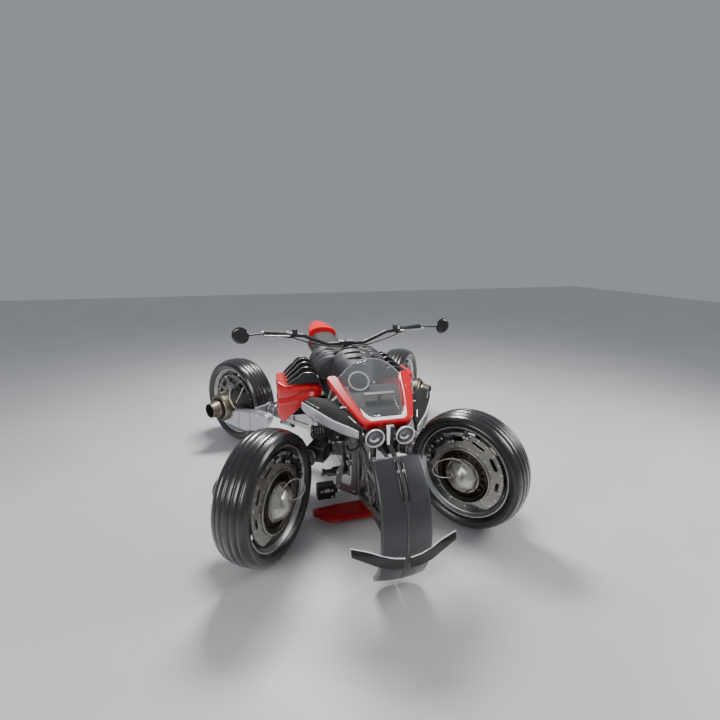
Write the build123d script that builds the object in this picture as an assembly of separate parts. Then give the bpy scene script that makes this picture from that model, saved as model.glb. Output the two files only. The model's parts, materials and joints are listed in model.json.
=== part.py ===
from build123d import *
import os
from math import atan2, cos, degrees, radians, sin, tan

# Flying motorcycle with four hub turbines, standing on its wheels with the four arms swung out.
# Millimetres. Forward is -Y, the rider's left is +X, up is +Z. Lengths along Y are measured from a
# line 756 mm behind the front wheels, and frame_y then puts the origin under the middle of the whole box.

# Driving dimensions
frame_y = 139.6

# Wheel
tyre_radius = 315.0
tyre_half_width = 91.0
crown_drop = 17.0
crown_half = 80.0
bead_radius = 238.0
rim_half_width = 68.0
rim_lip_radius = 244.0
rim_wall = 9.0
seat_gap = 0.2
web_half = 9.0
web_hole_radius = 30.0
web_hole_circle = 184.0
web_holes = 8
bearing_radius = 124.0
bearing_half = 14.0
hub_ring_wall = 14.0
running_fit = 0.05

# Corners: place of each wheel as it stands, its toe and the line it folds to on the road
front_track_half = 521.0
front_wheel_y = -756.0
front_toe = 35.5
rear_track_half = 640.0
rear_wheel_y = 680.0
rear_toe = 37.0
folded_half = 145.0
wheel_z = tyre_radius

# Turbine, along the wheel's axis with + outboard; it sits a little below the wheel's centre
turbine_drop = 20.0
can_radius = 98.0
can_end = 200.0
nozzle_root_radius = 62.0
nozzle_mouth_radius = 52.0
nozzle_end = 275.0
nozzle_wall = 4.0
intake_ring_radius = 150.0
intake_lip_radius = 142.0
intake_throat_radius = 112.0
intake_face = -72.0
intake_floor = -28.0
intake_floor_thickness = 8.0
cone_facets = 12
# Faceted dome of the intake: place along the axis, radius over its corners
cone_rings = [(intake_floor, 93.0), (-58.0, 93.0), (-78.0, 82.0), (-92.0, 56.0), (-99.0, 20.0)]

# Hub plate and carrier
hub_plate_radius = 214.0
hub_plate_inner_face = -60.0
hub_plate_thickness = 9.0
hub_plate_floor = -166.0
flange_inner = 44.0
flange_thickness = 12.0
flange_radius = 205.0
casing_inner = 104.0
casing_thickness = 56.0
boss_wall = 13.0
tyre_clearance = 10.0
pivot_disc_thickness = 26.0
pivot_disc_radius = 45.0
pivot_shaft_radius = 20.0
pivot_shaft_length = 55.0
pivot_gap = 5.0
pivot_housing_radius = 42.0
pivot_housing_length = 70.0

# Arm
arm_half_width = 25.0
arm_hinge_half_height = 55.0
arm_end_half_height = 38.0
arm_pocket_depth = 9.0
arm_pocket_height = 38.0
arm_pocket_corner = 8.0
boss_radius = 40.0
hinge_pin_radius = 18.0
ear_gap = 2.0
ear_thickness = 16.0
ear_radius = 46.0
drive_block_length = 100.0
drive_block_width = 46.0
drive_block_height = 92.0
drive_block_start = 450.0

# Central frame
spine_half_width = 60.0
spine_plate = 10.0
spine_front = -462.0
spine_rear = 330.0
spine_floor = 150.0
spine_top = 470.0
bulkhead_thickness = 8.0
bulkhead_y = spine_front - seat_gap
keel_half = 4.0
nose_circle_y = -889.0
nose_circle_z = 310.0
fender_radius = 348.0
fender_wall = 7.0
fender_inner = keel_half + seat_gap
fender_outer = 106.0
fender_droop = 18.0
fender_low_angle = -44.0
fender_top_angle = 58.0

# Bars
bar_radius = 11.0
bar_half_length = 470.0
bar_y = -150.0
bar_z = 890.0
stem_radius = 18.0
bar_straight = 96.0


# Small helpers
def face_of(*points):
    return make_face(Polyline(*points, close=True))


def side_slab(points, inner, outer):
    """A (y, z) outline made solid from x = inner to x = outer."""
    return extrude(Plane.YZ.offset(inner) * face_of(*points), amount=outer - inner)


def plan_slab(points, low, high):
    """An (x, y) outline made solid from z = low to z = high."""
    return extrude(Plane.XY.offset(low) * face_of(*points), amount=high - low)


def front_slab(points, front, back):
    """An (x, z) outline made solid from y = front to y = back."""
    return extrude(Plane.XZ.offset(-back) * face_of(*points), amount=back - front)


def tube(start, end, radius):
    line = Vector(*end) - Vector(*start)
    disc = Plane(origin=start, z_dir=line) * Circle(radius)
    return extrude(disc, amount=line.length)


def bent_tube(points, radius, bend):
    path = FilletPolyline(*points, radius=bend)
    disc = Plane(origin=path @ 0, z_dir=path % 0) * Circle(radius)
    return sweep(disc, path=path)


def across_x(radius, inner, outer, y=0.0, z=0.0):
    """A cylinder along X from inner to outer."""
    return Pos((inner + outer) / 2, y, z) * Rot(0, 90, 0) * Cylinder(radius, abs(outer - inner))


def mirrored(part):
    return mirror(part, about=Plane.YZ)


def both_sides(part):
    return [part, mirrored(part)]


def box_between(low, high):
    size = [b - a for a, b in zip(low, high)]
    middle = [(a + b) / 2 for a, b in zip(low, high)]
    return Pos(*middle) * Box(*size)


# Wheel pieces, about the X axis with the wheel's centre at the origin
def make_tyre():
    shoulder = tyre_radius - crown_drop
    lip = rim_half_width
    bead = bead_radius + seat_gap
    lip_top = rim_lip_radius + seat_gap
    inside = lip - 6.2
    edges = [
        Line((-inside, bead), (-inside, lip_top)),
        Line((-inside, lip_top), (-lip, lip_top)),
        ThreePointArc((-lip, lip_top), (-tyre_half_width, 270), (-crown_half, shoulder)),
        ThreePointArc((-crown_half, shoulder), (0, tyre_radius), (crown_half, shoulder)),
        ThreePointArc((crown_half, shoulder), (tyre_half_width, 270), (lip, lip_top)),
        Line((lip, lip_top), (inside, lip_top)),
        Line((inside, lip_top), (inside, bead)),
        Line((inside, bead), (-inside, bead)),
    ]
    return revolve(make_face(edges), axis=Axis.X)


def make_rim():
    lip = rim_half_width
    well = bead_radius - rim_wall
    barrel = revolve(
        face_of(
            (-lip, rim_lip_radius), (-lip + 6, rim_lip_radius), (-lip + 6, bead_radius),
            (lip - 6, bead_radius), (lip - 6, rim_lip_radius), (lip, rim_lip_radius),
            (lip, rim_lip_radius - 5), (lip - 12, well), (12 - lip, well), (-lip, rim_lip_radius - 5),
        ),
        axis=Axis.X,
    )
    web = across_x(well + 2, -web_half, web_half)
    hub = across_x(bearing_radius + hub_ring_wall, -bearing_half, bearing_half)
    bore = across_x(bearing_radius + running_fit, -bearing_half - 1, bearing_half + 1)
    holes = []
    for i in range(web_holes):
        angle = radians(360 / web_holes * i)
        y = web_hole_circle * cos(angle)
        z = web_hole_circle * sin(angle)
        holes.append(across_x(web_hole_radius, -web_half - 1, web_half + 1, y, z))
    return barrel + web + hub - bore - holes


# Fixed pieces of one corner, about the same axis, with the hinge towards +Y
def make_turbine():
    ring = intake_ring_radius
    lip = intake_lip_radius
    throat = intake_throat_radius
    floor_back = intake_floor + intake_floor_thickness
    back = [
        (intake_face + 3, ring), (floor_back, ring), (floor_back, can_radius), (can_end - 16, can_radius),
        (can_end, can_radius - 14), (can_end + 4, nozzle_root_radius), (nozzle_end, nozzle_mouth_radius),
        (nozzle_end, nozzle_mouth_radius - nozzle_wall),
        (can_end + 20, nozzle_root_radius - nozzle_wall - 2), (can_end + 20, 24),
        (can_end + 50, 0), (intake_floor, 0), (intake_floor, throat),
    ]
    edges = [Line(a, b) for a, b in zip(back, back[1:])]
    edges.append(ThreePointArc((intake_floor, throat), (intake_floor - 26, throat + 9), (intake_face, lip)))
    edges.append(ThreePointArc((intake_face, lip), (intake_face - 2, lip + 5), (intake_face + 3, ring)))
    body = revolve(make_face(edges), axis=Axis.X)
    cone = [
        loft([
            Plane(origin=(x, 0, 0), z_dir=(-1, 0, 0)) * RegularPolygon(radius, cone_facets)
            for x, radius in (near, far)
        ])
        for near, far in zip(cone_rings, cone_rings[1:])
    ]
    return Pos(0, 0, -turbine_drop) * (body + cone)


def slot_cut(length, width, inner, outer, y, z, turn):
    """A through slot in a plate across X, turned about X."""
    slot = extrude(Plane.YZ.offset(inner) * SlotOverall(length, width), amount=outer - inner)
    return Pos(0, y, z) * Rot(turn, 0, 0) * slot


def make_hub_plate():
    """Plate round the intake, cut away low on the side of the arm."""
    inner = hub_plate_inner_face
    outer = inner + hub_plate_thickness
    plate = across_x(hub_plate_radius, inner, outer)
    reach = hub_plate_radius + 20
    skirt = side_slab(
        [(-reach, hub_plate_floor), (0, hub_plate_floor), (hub_plate_radius - 4, 0), (reach, 0),
         (reach, -reach), (-reach, -reach)],
        inner - 1, outer + 1,
    )
    bore = Pos(0, 0, -turbine_drop) * across_x(intake_ring_radius + seat_gap, inner - 1, outer + 1)
    # Slots: angle round the plate, distance from the axis, length, width
    slots = [(14, 182, 54, 24), (43, 181, 66, 22), (77, 180, 70, 26), (114, 180, 70, 18), (150, 182, 70, 20),
             (187, 184, 50, 18)]
    cuts = []
    for angle, distance, length, width in slots:
        y = distance * cos(radians(angle))
        z = distance * sin(radians(angle))
        cuts.append(slot_cut(length, width, inner - 1, outer + 1, y, z, angle + 90))
    return plate - skirt - bore - cuts


disc_near = tyre_radius + tyre_clearance
disc_far = disc_near + pivot_disc_thickness
housing_near = disc_far + pivot_gap
housing_far = housing_near + pivot_housing_length


def make_carrier():
    flange = across_x(flange_radius, flange_inner, flange_inner + flange_thickness)
    reach = flange_radius + 20
    skirt = side_slab(
        [(-reach, -118), (reach, -118), (reach, -reach), (-reach, -reach)],
        flange_inner - 1, flange_inner + flange_thickness + 1,
    )
    windows = []
    for angle in (50, 90, 130, 170):
        y = 158 * cos(radians(angle))
        z = 158 * sin(radians(angle))
        windows.append(slot_cut(84, 34, flange_inner - 1, flange_inner + flange_thickness + 1, y, z, angle + 90))
    drum = across_x(bearing_radius, -bearing_half - 2, flange_inner + flange_thickness)
    lowered = Pos(0, 0, -turbine_drop)
    boss = lowered * across_x(can_radius + boss_wall, flange_inner, casing_inner + 22)
    casing_outline = Plane.YZ.offset(casing_inner) * face_of(
        (-30, -104), (60, -72), (112, -22), (190, -2), (360, 22), (470, 24), (497, 4), (482, -40),
        (395, -108), (255, -150), (130, -150), (-30, -142),
    )
    casing_outline = fillet(casing_outline.vertices(), 12)
    casing = extrude(casing_outline, amount=casing_thickness)
    casing = fillet(casing.faces().sort_by(Axis.X)[-1].edges(), 10)
    elbow = box_between((-20, disc_near, -38), (casing_inner + 20, disc_far, 38))
    disc = Pos(0, (disc_near + disc_far) / 2, 0) * Rot(90, 0, 0) * Cylinder(
        pivot_disc_radius, pivot_disc_thickness)
    shaft_end = housing_near + pivot_shaft_length
    shaft = tube((0, disc_near + 2, 0), (0, shaft_end, 0), pivot_shaft_radius)
    bore = lowered * across_x(can_radius + seat_gap, -bearing_half - 3, casing_inner + casing_thickness + 1)
    return flange - skirt - windows + drum + boss + casing + elbow + disc + shaft - bore


def make_arm(length):
    """Arm from the frame hinge at y = length to the tilt pivot behind the tyre."""
    shoulder = length - 20
    beam = side_slab(
        [(housing_far - 30, -arm_end_half_height), (shoulder, -arm_hinge_half_height),
         (shoulder, arm_hinge_half_height), (housing_far - 30, arm_end_half_height)],
        -arm_half_width, arm_half_width,
    )
    housing = tube((0, housing_near, 0), (0, housing_far, 0), pivot_housing_radius)
    bore = tube((0, housing_near - 1, 0), (0, housing_near + pivot_shaft_length + 4, 0),
                pivot_shaft_radius + running_fit)
    boss = Pos(0, length, 0) * Cylinder(boss_radius, 2 * arm_hinge_half_height)
    pin_hole = Pos(0, length, 0) * Cylinder(hinge_pin_radius + running_fit, 2 * arm_hinge_half_height + 2)
    start = drive_block_start
    block = box_between(
        (-arm_half_width - drive_block_width, start, -drive_block_height / 2),
        (-arm_half_width + 2, start + drive_block_length, drive_block_height / 2),
    )
    block = chamfer(block.edges().filter_by(Axis.X), 8)
    # Pockets on the outboard face: start and end along the arm
    span = shoulder - boss_radius - housing_far
    pockets = []
    for near, far in ((0.02, 0.46), (0.54, 0.98)):
        a = housing_far + near * span
        b = housing_far + far * span
        middle = (a + b) / 2
        pocket = Pos(0, middle, 0) * extrude(
            Plane.YZ.offset(arm_half_width - arm_pocket_depth)
            * RectangleRounded(b - a, arm_pocket_height, arm_pocket_corner),
            amount=2 * arm_pocket_depth)
        pockets.append(pocket)
    return beam + housing + boss + block - bore - pin_hole - pockets


# The four corners
# name, half track, wheel y, toe, +1 where the wheel is ahead of its hinge
corners = [
    ("front_left", front_track_half, front_wheel_y, front_toe, 1),
    ("front_right", front_track_half, front_wheel_y, front_toe, 1),
    ("rear_left", rear_track_half, rear_wheel_y, rear_toe, -1),
    ("rear_right", rear_track_half, rear_wheel_y, rear_toe, -1),
]


def arm_length(half_track, toe):
    return (half_track - folded_half) / sin(radians(toe))


def hinge_y(half_track, wheel_y, toe, ahead):
    return wheel_y + ahead * arm_length(half_track, toe) * cos(radians(toe))


front_arm = arm_length(front_track_half, front_toe)
rear_arm = arm_length(rear_track_half, rear_toe)
front_hinge_y = hinge_y(front_track_half, front_wheel_y, front_toe, 1)
rear_hinge_y = hinge_y(rear_track_half, rear_wheel_y, rear_toe, -1)


def place_corner(part, name, half_track, wheel_y, toe, ahead):
    """Put a piece made about its wheel's centre where it stands."""
    if ahead < 0:
        part = mirror(part, about=Plane.XZ)
    part = Pos(half_track, wheel_y, wheel_z) * Rot(0, 0, ahead * toe) * part
    return mirrored(part) if name.endswith("right") else part


# Central frame
def make_frame():
    inner = spine_half_width - spine_plate
    outline = [(spine_front, 250), (spine_front, spine_floor + 40), (spine_front + 120, spine_floor),
               (spine_rear - 120, spine_floor), (spine_rear, 230), (spine_rear, spine_top),
               (spine_front + 60, spine_top), (spine_front, 400)]
    side = side_slab(outline, inner, spine_half_width)
    # Windows: y from, y to, z low, z high, lean of the top
    windows = [(-430, -310, 215, 400, 18), (-140, -62, 200, 420, 0), (108, 188, 200, 420, 0),
               (225, 300, 260, 420, 0)]
    for near, far, low, high, lean in windows:
        hole = side_slab([(near, low), (far, low), (far - lean, high), (near + lean, high)],
                         inner - 1, spine_half_width + 1)
        side = side - fillet(hole.edges().filter_by(Axis.X), 12)
    return both_sides(side)


def make_cross_members():
    """Spacer tubes between the frame's plates, and the jacking pad."""
    inner = spine_half_width - spine_plate
    members = [box_between((-inner, -90, spine_floor), (inner, 90, spine_floor + 12))]
    for y, z in ((-400, 440), (-300, 178), (250, 440), (210, 178), (-180, 452), (130, 452)):
        members.append(across_x(14, -inner, inner, y, z))
    return members


def make_hinge_brackets():
    """Two ears and the hinge pin of each arm."""
    root = spine_half_width
    ear_low = wheel_z - arm_hinge_half_height - ear_gap - ear_thickness
    ear_high = wheel_z + arm_hinge_half_height + ear_gap
    brackets = []
    for y in (front_hinge_y, rear_hinge_y):
        bracket = Pos(folded_half, y, (ear_low + ear_high + ear_thickness) / 2) * Cylinder(
            hinge_pin_radius, ear_high - ear_low + ear_thickness)
        for low in (ear_low, ear_high):
            ear = plan_slab(
                [(root, y - 74), (folded_half, y - ear_radius), (folded_half, y + ear_radius), (root, y + 74)],
                low, low + ear_thickness,
            )
            bracket = bracket + ear + Pos(folded_half, y, low + ear_thickness / 2) * Cylinder(
                ear_radius, ear_thickness)
        brackets += both_sides(bracket)
    return brackets


def make_core():
    inner = spine_half_width - spine_plate - seat_gap
    return box_between((-inner, -285, 192), (inner, 165, 436))


def make_bulkhead():
    outline = [(-96, 400), (-98, 268), (-132, 240), (-134, 128), (-20, 64), (20, 64), (134, 128),
               (132, 240), (98, 268), (96, 400), (40, 430), (-40, 430)]
    plate = front_slab(outline, bulkhead_y - bulkhead_thickness, bulkhead_y)
    for side in (-1, 1):
        hole = front_slab(
            [(side * 78, 330), (side * 86, 280), (side * 108, 160), (side * 46, 128), (side * 40, 330)],
            bulkhead_y - bulkhead_thickness - 1, bulkhead_y + 1,
        )
        plate = plate - fillet(hole.edges().filter_by(Axis.Y), 8)
    return plate


def on_nose(angle, radius):
    """A (y, z) point at an angle above straight ahead on the nose circle."""
    return (nose_circle_y - radius * cos(radians(angle)), nose_circle_z + radius * sin(radians(angle)))


def make_keel():
    rim = fender_radius + fender_wall + 1
    inner = fender_radius - 24
    front = [on_nose(a, rim) for a in (-40, -20, 0, 20, 40, 56)]
    back = [on_nose(a, inner) for a in (50, 35, 20, 0, -20, -36)]
    hoop_face = make_face([
        ThreePointArc(front[0], on_nose(8, rim), front[-1]),
        Line(front[-1], (-925, 652)),
        Line((-925, 652), (-905, 632)),
        Line((-905, 632), back[0]),
        ThreePointArc(back[0], on_nose(7, inner), back[-1]),
        Line(back[-1], front[0]),
    ])
    hoop = extrude(Plane.YZ.offset(-keel_half) * hoop_face, amount=2 * keel_half)
    # Struts of the plate: from (y, z) to (y, z), width
    low_front = on_nose(-30, inner + 6)
    high_front = on_nose(44, inner + 6)
    back_y = bulkhead_y - bulkhead_thickness
    struts = [
        ((back_y, 118), low_front, 34),
        ((back_y, 330), on_nose(-24, inner + 6), 26),
        ((back_y, 400), (-912, 634), 34),
        ((-700, 200), (-720, 545), 20),
        ((-720, 545), high_front, 22),
    ]
    keel = hoop
    for (y1, z1), (y2, z2), width in struts:
        turn = degrees(atan2(z2 - z1, y2 - y1))
        long = ((y2 - y1) ** 2 + (z2 - z1) ** 2) ** 0.5
        bar = extrude(Plane.YZ.offset(-keel_half) * Rectangle(long, width), amount=2 * keel_half)
        bar = Pos(0, (y1 + y2) / 2, (z1 + z2) / 2) * Rot(turn, 0, 0) * bar
        keel = keel + bar
    beyond = box_between((-20, back_y, 0), (20, back_y + 200, 700))
    above = box_between((-20, -925, 652), (20, -700, 760))
    return keel - beyond - above


def make_fender():
    """Two shells that wrap the front tyres when the wheels are folded in."""
    section = make_face([
        Line((fender_inner, fender_radius), (fender_inner, fender_radius + fender_wall)),
        ThreePointArc(
            (fender_inner, fender_radius + fender_wall),
            (fender_inner + 60, fender_radius + fender_wall - 3),
            (fender_outer, fender_radius + fender_wall - fender_droop),
        ),
        Line((fender_outer, fender_radius + fender_wall - fender_droop),
             (fender_outer - 2, fender_radius - fender_droop)),
        ThreePointArc(
            (fender_outer - 2, fender_radius - fender_droop),
            (fender_inner + 60, fender_radius - 3),
            (fender_inner, fender_radius),
        ),
    ])
    # The section stands in the plane of the axis; turning it round the axis makes the shell.
    start = Pos(0, nose_circle_y, nose_circle_z) * Rot(180 - fender_low_angle, 0, 0) * section
    arc = fender_top_angle - fender_low_angle
    shell = revolve(start, axis=Axis((0, nose_circle_y, nose_circle_z), (-1, 0, 0)), revolution_arc=arc)
    tongue = revolve(
        Pos(0, nose_circle_y, nose_circle_z) * Rot(180 - fender_low_angle, 0, 0) * make_face(
            Polyline((fender_inner, fender_radius), (fender_inner, fender_radius + fender_wall),
                     (84, fender_radius + fender_wall - 6), (84, fender_radius - 6), close=True)),
        axis=Axis((0, nose_circle_y, nose_circle_z), (1, 0, 0)), revolution_arc=10,
    )
    half = shell + tongue
    return both_sides(half)


def make_fender_fins():
    """Fins low on the fender, swept out and up."""
    outer = fender_radius + fender_wall
    y, z = on_nose(-10, outer)
    shell = make_fender()[0]
    fin = loft([
        Plane(origin=(34, y + 6, z + 2), x_dir=(0, 0, 1), z_dir=(1, 0, 0)) * SlotOverall(58, 7),
        Plane(origin=(190, -1220, 290), x_dir=(0, 0, 1), z_dir=(1, 0, 0)) * SlotOverall(30, 5),
    ])
    fin = (fin - shell).solids().sort_by(Axis.X)[-1]
    return both_sides(fin)


def make_front_units():
    """Drive controllers and swing actuators in the bay behind the nose, fastened to the frame."""
    root = spine_half_width + seat_gap
    case = box_between((root, -446, 400), (168, -364, 506))
    case = chamfer(case.edges().filter_by(Axis.Y), 8)
    actuator_y = -442
    unit = case + across_x(34, 160, 256, -404, 452) + across_x(40, 176, 186, -404, 452)
    unit = unit + across_x(40, 240, 250, -404, 452)
    # Cooling ribs on the front of the case
    for i in range(6):
        x = 76 + 16 * i
        unit = unit + box_between((x, -458, 410), (x + 5, -440, 496))
    actuator = across_x(18, root, 150, actuator_y, 228) + across_x(8, 140, 196, actuator_y, 228)
    actuator = actuator + across_x(14, 190, 206, actuator_y, 228)
    return both_sides(unit) + both_sides(actuator)


def make_belly_pan():
    low = 44
    high = 78
    back = bulkhead_y - bulkhead_thickness - seat_gap
    # half width at the nose, nose y, half width at the ears, ear y from and to
    outlines = [(low, 212, -676, 286, -592, -540), (high, 192, -640, 262, -574, -530)]
    slices = []
    for z, nose, nose_y, ear, ear_front, ear_back in outlines:
        outline = face_of((-nose, nose_y), (nose, nose_y), (ear, ear_front), (ear, ear_back), (160, back),
                          (-160, back), (-ear, ear_back), (-ear, ear_front))
        slices.append(Plane.XY.offset(z) * outline)
    return loft(slices, ruled=True)


# Upper body
rail_x = 88.0
rail_radius = 14.0
deck_z = 560.0
seat_deck_z = 700.0
outrigger_y = -150.0
cover_inner = 178.5


def make_upper_frame():
    rail_z = seat_deck_z - rail_radius - seat_gap
    path = [(rail_x, -740, 700), (rail_x, -430, deck_z), (rail_x, 156, deck_z), (rail_x, 290, rail_z),
            (rail_x, 680, rail_z), (rail_x, 790, rail_z + 18)]
    rail = bent_tube(path, rail_radius, 60)
    frame = rail + mirrored(rail)
    for y, z in ((-730, 695), (-300, deck_z), (100, deck_z), (420, rail_z), (770, rail_z + 15)):
        frame = frame + tube((-rail_x, y, z), (rail_x, y, z), 11)
    # Posts down to the spine, on flat feet
    foot = spine_top + seat_gap
    for y in (-340, 0, 240):
        top = deck_z if y < 156 else deck_z + 78
        post = tube((rail_x, y, top), (spine_half_width - 4, y, foot - 6), 11)
        shoe = box_between((spine_half_width - 16, y - 18, foot), (spine_half_width + 12, y + 18, foot + 10))
        below = box_between((0, y - 40, foot - 60), (rail_x + 30, y + 40, foot))
        frame = frame + both_sides((post - below) + shoe)
    # Outriggers to the side covers and tabs to the nose tray
    outrigger = tube((rail_x, outrigger_y, deck_z), (cover_inner - seat_gap, outrigger_y, deck_z), 11)
    tab_top = nose_under(-722) - seat_gap
    tab = box_between((rail_x - 9, -722, 700), (rail_x + 9, -712, tab_top))
    frame = frame + both_sides(outrigger) + both_sides(tab)
    return frame


body_back = 116.0
rib_count = 5
rib_pitch = 62.0


def make_body():
    """Ribbed body between the cowl and the seat."""
    low = deck_z + rail_radius + seat_gap
    # y, half width at the foot, half width at the shoulder, foot z, shoulder z, top z
    sections = [
        (-500, 56, 62, 640, 730, 790),
        (-400, 92, 100, 606, 800, 868),
        (-320, 108, 118, low, 812, 896),
        (-200, 126, 122, low, 784, 850),
        (-20, 132, 116, low, 752, 806),
        (body_back, 120, 100, low, 730, 776),
    ]
    slices = []
    for y, foot, shoulder, low_z, mid, top in sections:
        slices.append(Plane(origin=(0, y, 0), x_dir=(1, 0, 0), z_dir=(0, -1, 0)) * make_face([
            Line((-foot, low_z), (foot, low_z)),
            Line((foot, low_z), (shoulder, mid)),
            ThreePointArc((shoulder, mid), (0, top), (-shoulder, mid)),
            Line((-shoulder, mid), (-foot, low_z)),
        ]))
    body = loft(slices, ruled=True)
    for i in range(rib_count):
        y = -262 + rib_pitch * i
        rib = loft([
            Plane(origin=(144, y, 640)) * Rectangle(56, 26),
            Plane(origin=(112, y - 22, 806)) * Rectangle(44, 18),
        ])
        body = body + both_sides(rib)
    head = Pos(0, bar_y, 838) * Cylinder(stem_radius + 12, 60)
    socket = Pos(0, bar_y, 838) * Cylinder(stem_radius + running_fit, 80)
    return body + head - socket


cowl_nose_y = -978.0
cowl_nose_z = 716.0
cowl_rise = 21.0
cowl_length = 345.0
cowl_plane = Plane(origin=(0, cowl_nose_y, cowl_nose_z), x_dir=(1, 0, 0),
                   z_dir=(0, -sin(radians(cowl_rise)), cos(radians(cowl_rise))))


tray_depth = 52.0
tray_thickness = 10.0


def nose_under(y):
    """Height of the underside of the nose tray above the floor at y."""
    rise = radians(cowl_rise)
    return cowl_nose_z + (y - cowl_nose_y) * tan(rise) - (tray_depth + tray_thickness + seat_gap) / cos(rise)


def make_cowl():
    """Red surround of the screen, a U in the plane of the nose."""
    outline = cowl_plane * fillet(face_of((-100, 0), (100, 0), (124, 30), (212, cowl_length), (168, cowl_length + 18),
                                          (-168, cowl_length + 18), (-212, cowl_length), (-124, 30)).vertices(), 10)
    hole = cowl_plane * face_of((-86, 52), (86, 52), (158, cowl_length + 60), (-158, cowl_length + 60))
    solid = extrude(outline, amount=-tray_depth, taper=12)
    for side in (-1, 1):
        solid = solid - lamp_axis(side) * across_x(lamp_radius + seat_gap, -40, 70)
    return solid - extrude(hole, amount=80, both=True)


def make_screen():
    slices = []
    for along, half, rise in ((52.4, 85.6, 14), (cowl_length - 6, 144, 40)):
        at = cowl_plane.offset(-4)
        origin = at.from_local_coords((0, along, 0))
        slices.append(Plane(origin=origin, x_dir=(1, 0, 0), z_dir=cowl_plane.y_dir) * make_face([
            ThreePointArc((-half, 0), (0, -rise), (half, 0)),
            Line((half, 0), (half, -3.5)),
            ThreePointArc((half, -3.5), (0, -rise - 3.5), (-half, -3.5)),
            Line((-half, -3.5), (-half, 0)),
        ]))
    return loft(slices)


dial_place = (-36.0, -640.0, 796.0)
dial_radius = 48.0


def make_instruments():
    top = -tray_depth - seat_gap
    tray = cowl_plane.offset(top) * face_of((-96, 24), (96, 24), (176, 330), (-176, 330))
    tray = extrude(tray, amount=-tray_thickness)
    dial = Pos(*dial_place) * Rot(38, 0, 0) * Cylinder(dial_radius, 24)
    stalk = tube(dial_place, (dial_place[0], dial_place[1] - 20, dial_place[2] - 50), 12)
    bar = Pos(0, -740, 776) * Box(150, 26, 12)
    bar_post = tube((0, -740, 776), (0, -740, 744), 8)
    return tray + dial + stalk + bar + bar_post


lamp_half = 68.0
lamp_y = -995.0
lamp_z = 657.0
lamp_radius = 43.0


def lamp_axis(side):
    """Puts what is made about X, with its front at -X, on one lamp's axis."""
    return Pos(side * lamp_half, lamp_y, lamp_z) * Rot(0, 0, 90) * Rot(0, -6, 0)


def make_lamps():
    lamps = []
    for side in (-1, 1):
        bowl = revolve(
            face_of((0, 0), (0, lamp_radius - 3), (8, lamp_radius - 3), (58, 26), (58, 0)), axis=Axis.X)
        ring = revolve(face_of((-7, lamp_radius - 7), (-7, lamp_radius), (1, lamp_radius), (1, lamp_radius - 7)),
                       axis=Axis.X)
        lamps.append(lamp_axis(side) * (bowl + ring))
    return lamps


def make_lamp_lenses():
    lenses = []
    for side in (-1, 1):
        lens = revolve(
            face_of((-0.3, 0), (-0.3, lamp_radius - 7.3), (-5, lamp_radius - 7.3), (-9, 22), (-11, 8), (-11, 0)),
            axis=Axis.X)
        lenses.append(lamp_axis(side) * lens)
    return lenses


def make_lamp_bracket():
    plate = front_slab([(-13, 622), (13, 622), (17, 706), (-17, 706)], -996, -985)
    arm = box_between((-12, -985, 628), (12, -925 - seat_gap, 652))
    cross = box_between((-96, -934, 634), (96, -920, 652))
    slot = box_between((-keel_half - seat_gap, -1000, 600), (keel_half + seat_gap, -900, 656))
    return plate + arm + cross - slot


# Winglet, nose to tip: y, x of the outer face, its low and high z, x and z of the inner top edge
winglet_rows = [
    (-975, 138, 650, 688, 124, 704),
    (-930, 178, 648, 698, 131, 718),
    (-870, 219, 652, 700, 150, 738),
    (-800, 263, 656, 713, 174, 750),
    (-740, 298, 662, 723, 200, 754),
    (-655, 335, 684, 725, 281, 748),
]
band_thickness = 8.0


def across_rows(outline_at):
    """Lofts the (x, z) outline that outline_at gives for each winglet row."""
    return loft([
        Plane(origin=(0, row[0], 0), x_dir=(1, 0, 0), z_dir=(0, -1, 0)) * face_of(*outline_at(*row[1:]))
        for row in winglet_rows
    ], ruled=True)


def winglet_panel():
    def outline(outer, low, high, top_x, top_z):
        face = outer - band_thickness
        return [(top_x, top_z), (top_x - 6, top_z - 20), (max(face - 34, top_x - 2), low + 8), (face, low + 2), (face, high)]

    return across_rows(outline)


def make_winglets():
    """Side panels of the nose, from beside the lamps out to the tips, each on a stay to the cowl."""
    stay = tube((206, -740, 740), (150, -760, 800), 8) - make_cowl()
    stay = stay.solids().sort_by(Axis.Z)[0]
    return both_sides(winglet_panel() + stay)


def make_winglet_bands():
    """Silver bands round the outer faces of the winglets."""
    def outline(outer, low, high, top_x, top_z):
        face = outer - band_thickness + seat_gap
        return [(face, low), (face, high), (outer, high - 4), (outer, low + 3)]

    return both_sides(across_rows(outline))


cover_top = 702.0
# Knee covers, three leaves laid over each other: z, then front y inside, x and y of the front corner,
# x and y of the widest place
cover_leaves = [
    [(452, -190, 300, -190, 384, -150), (562, -300, 300, -300, 404, -200)],
    [(532, -250, 330, -250, 398, -190), (640, -350, 310, -345, 414, -210)],
    [(612, -300, 330, -290, 405, -190), (cover_top, -378, 300, -360, 420, -220)],
]


def make_side_covers():
    """Red knee covers beside the body."""
    inner = cover_inner
    cover = None
    for leaf in cover_leaves:
        slices = []
        for z, inner_y, front_x, front_y, wide_x, wide_y in leaf:
            slices.append(Plane.XY.offset(z) * face_of(
                (inner, inner_y), (front_x, front_y), (wide_x, wide_y), (wide_x - 6, -30), (inner, 20)))
        solid = loft(slices, ruled=True)
        cover = solid if cover is None else cover + solid
    return both_sides(cover)


# Fins over the knee covers: y, height of the crest above the cover
fin_rows = [(-300, 68), (-240, 84), (-172, 96), (-104, 103), (-40, 98)]


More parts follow.
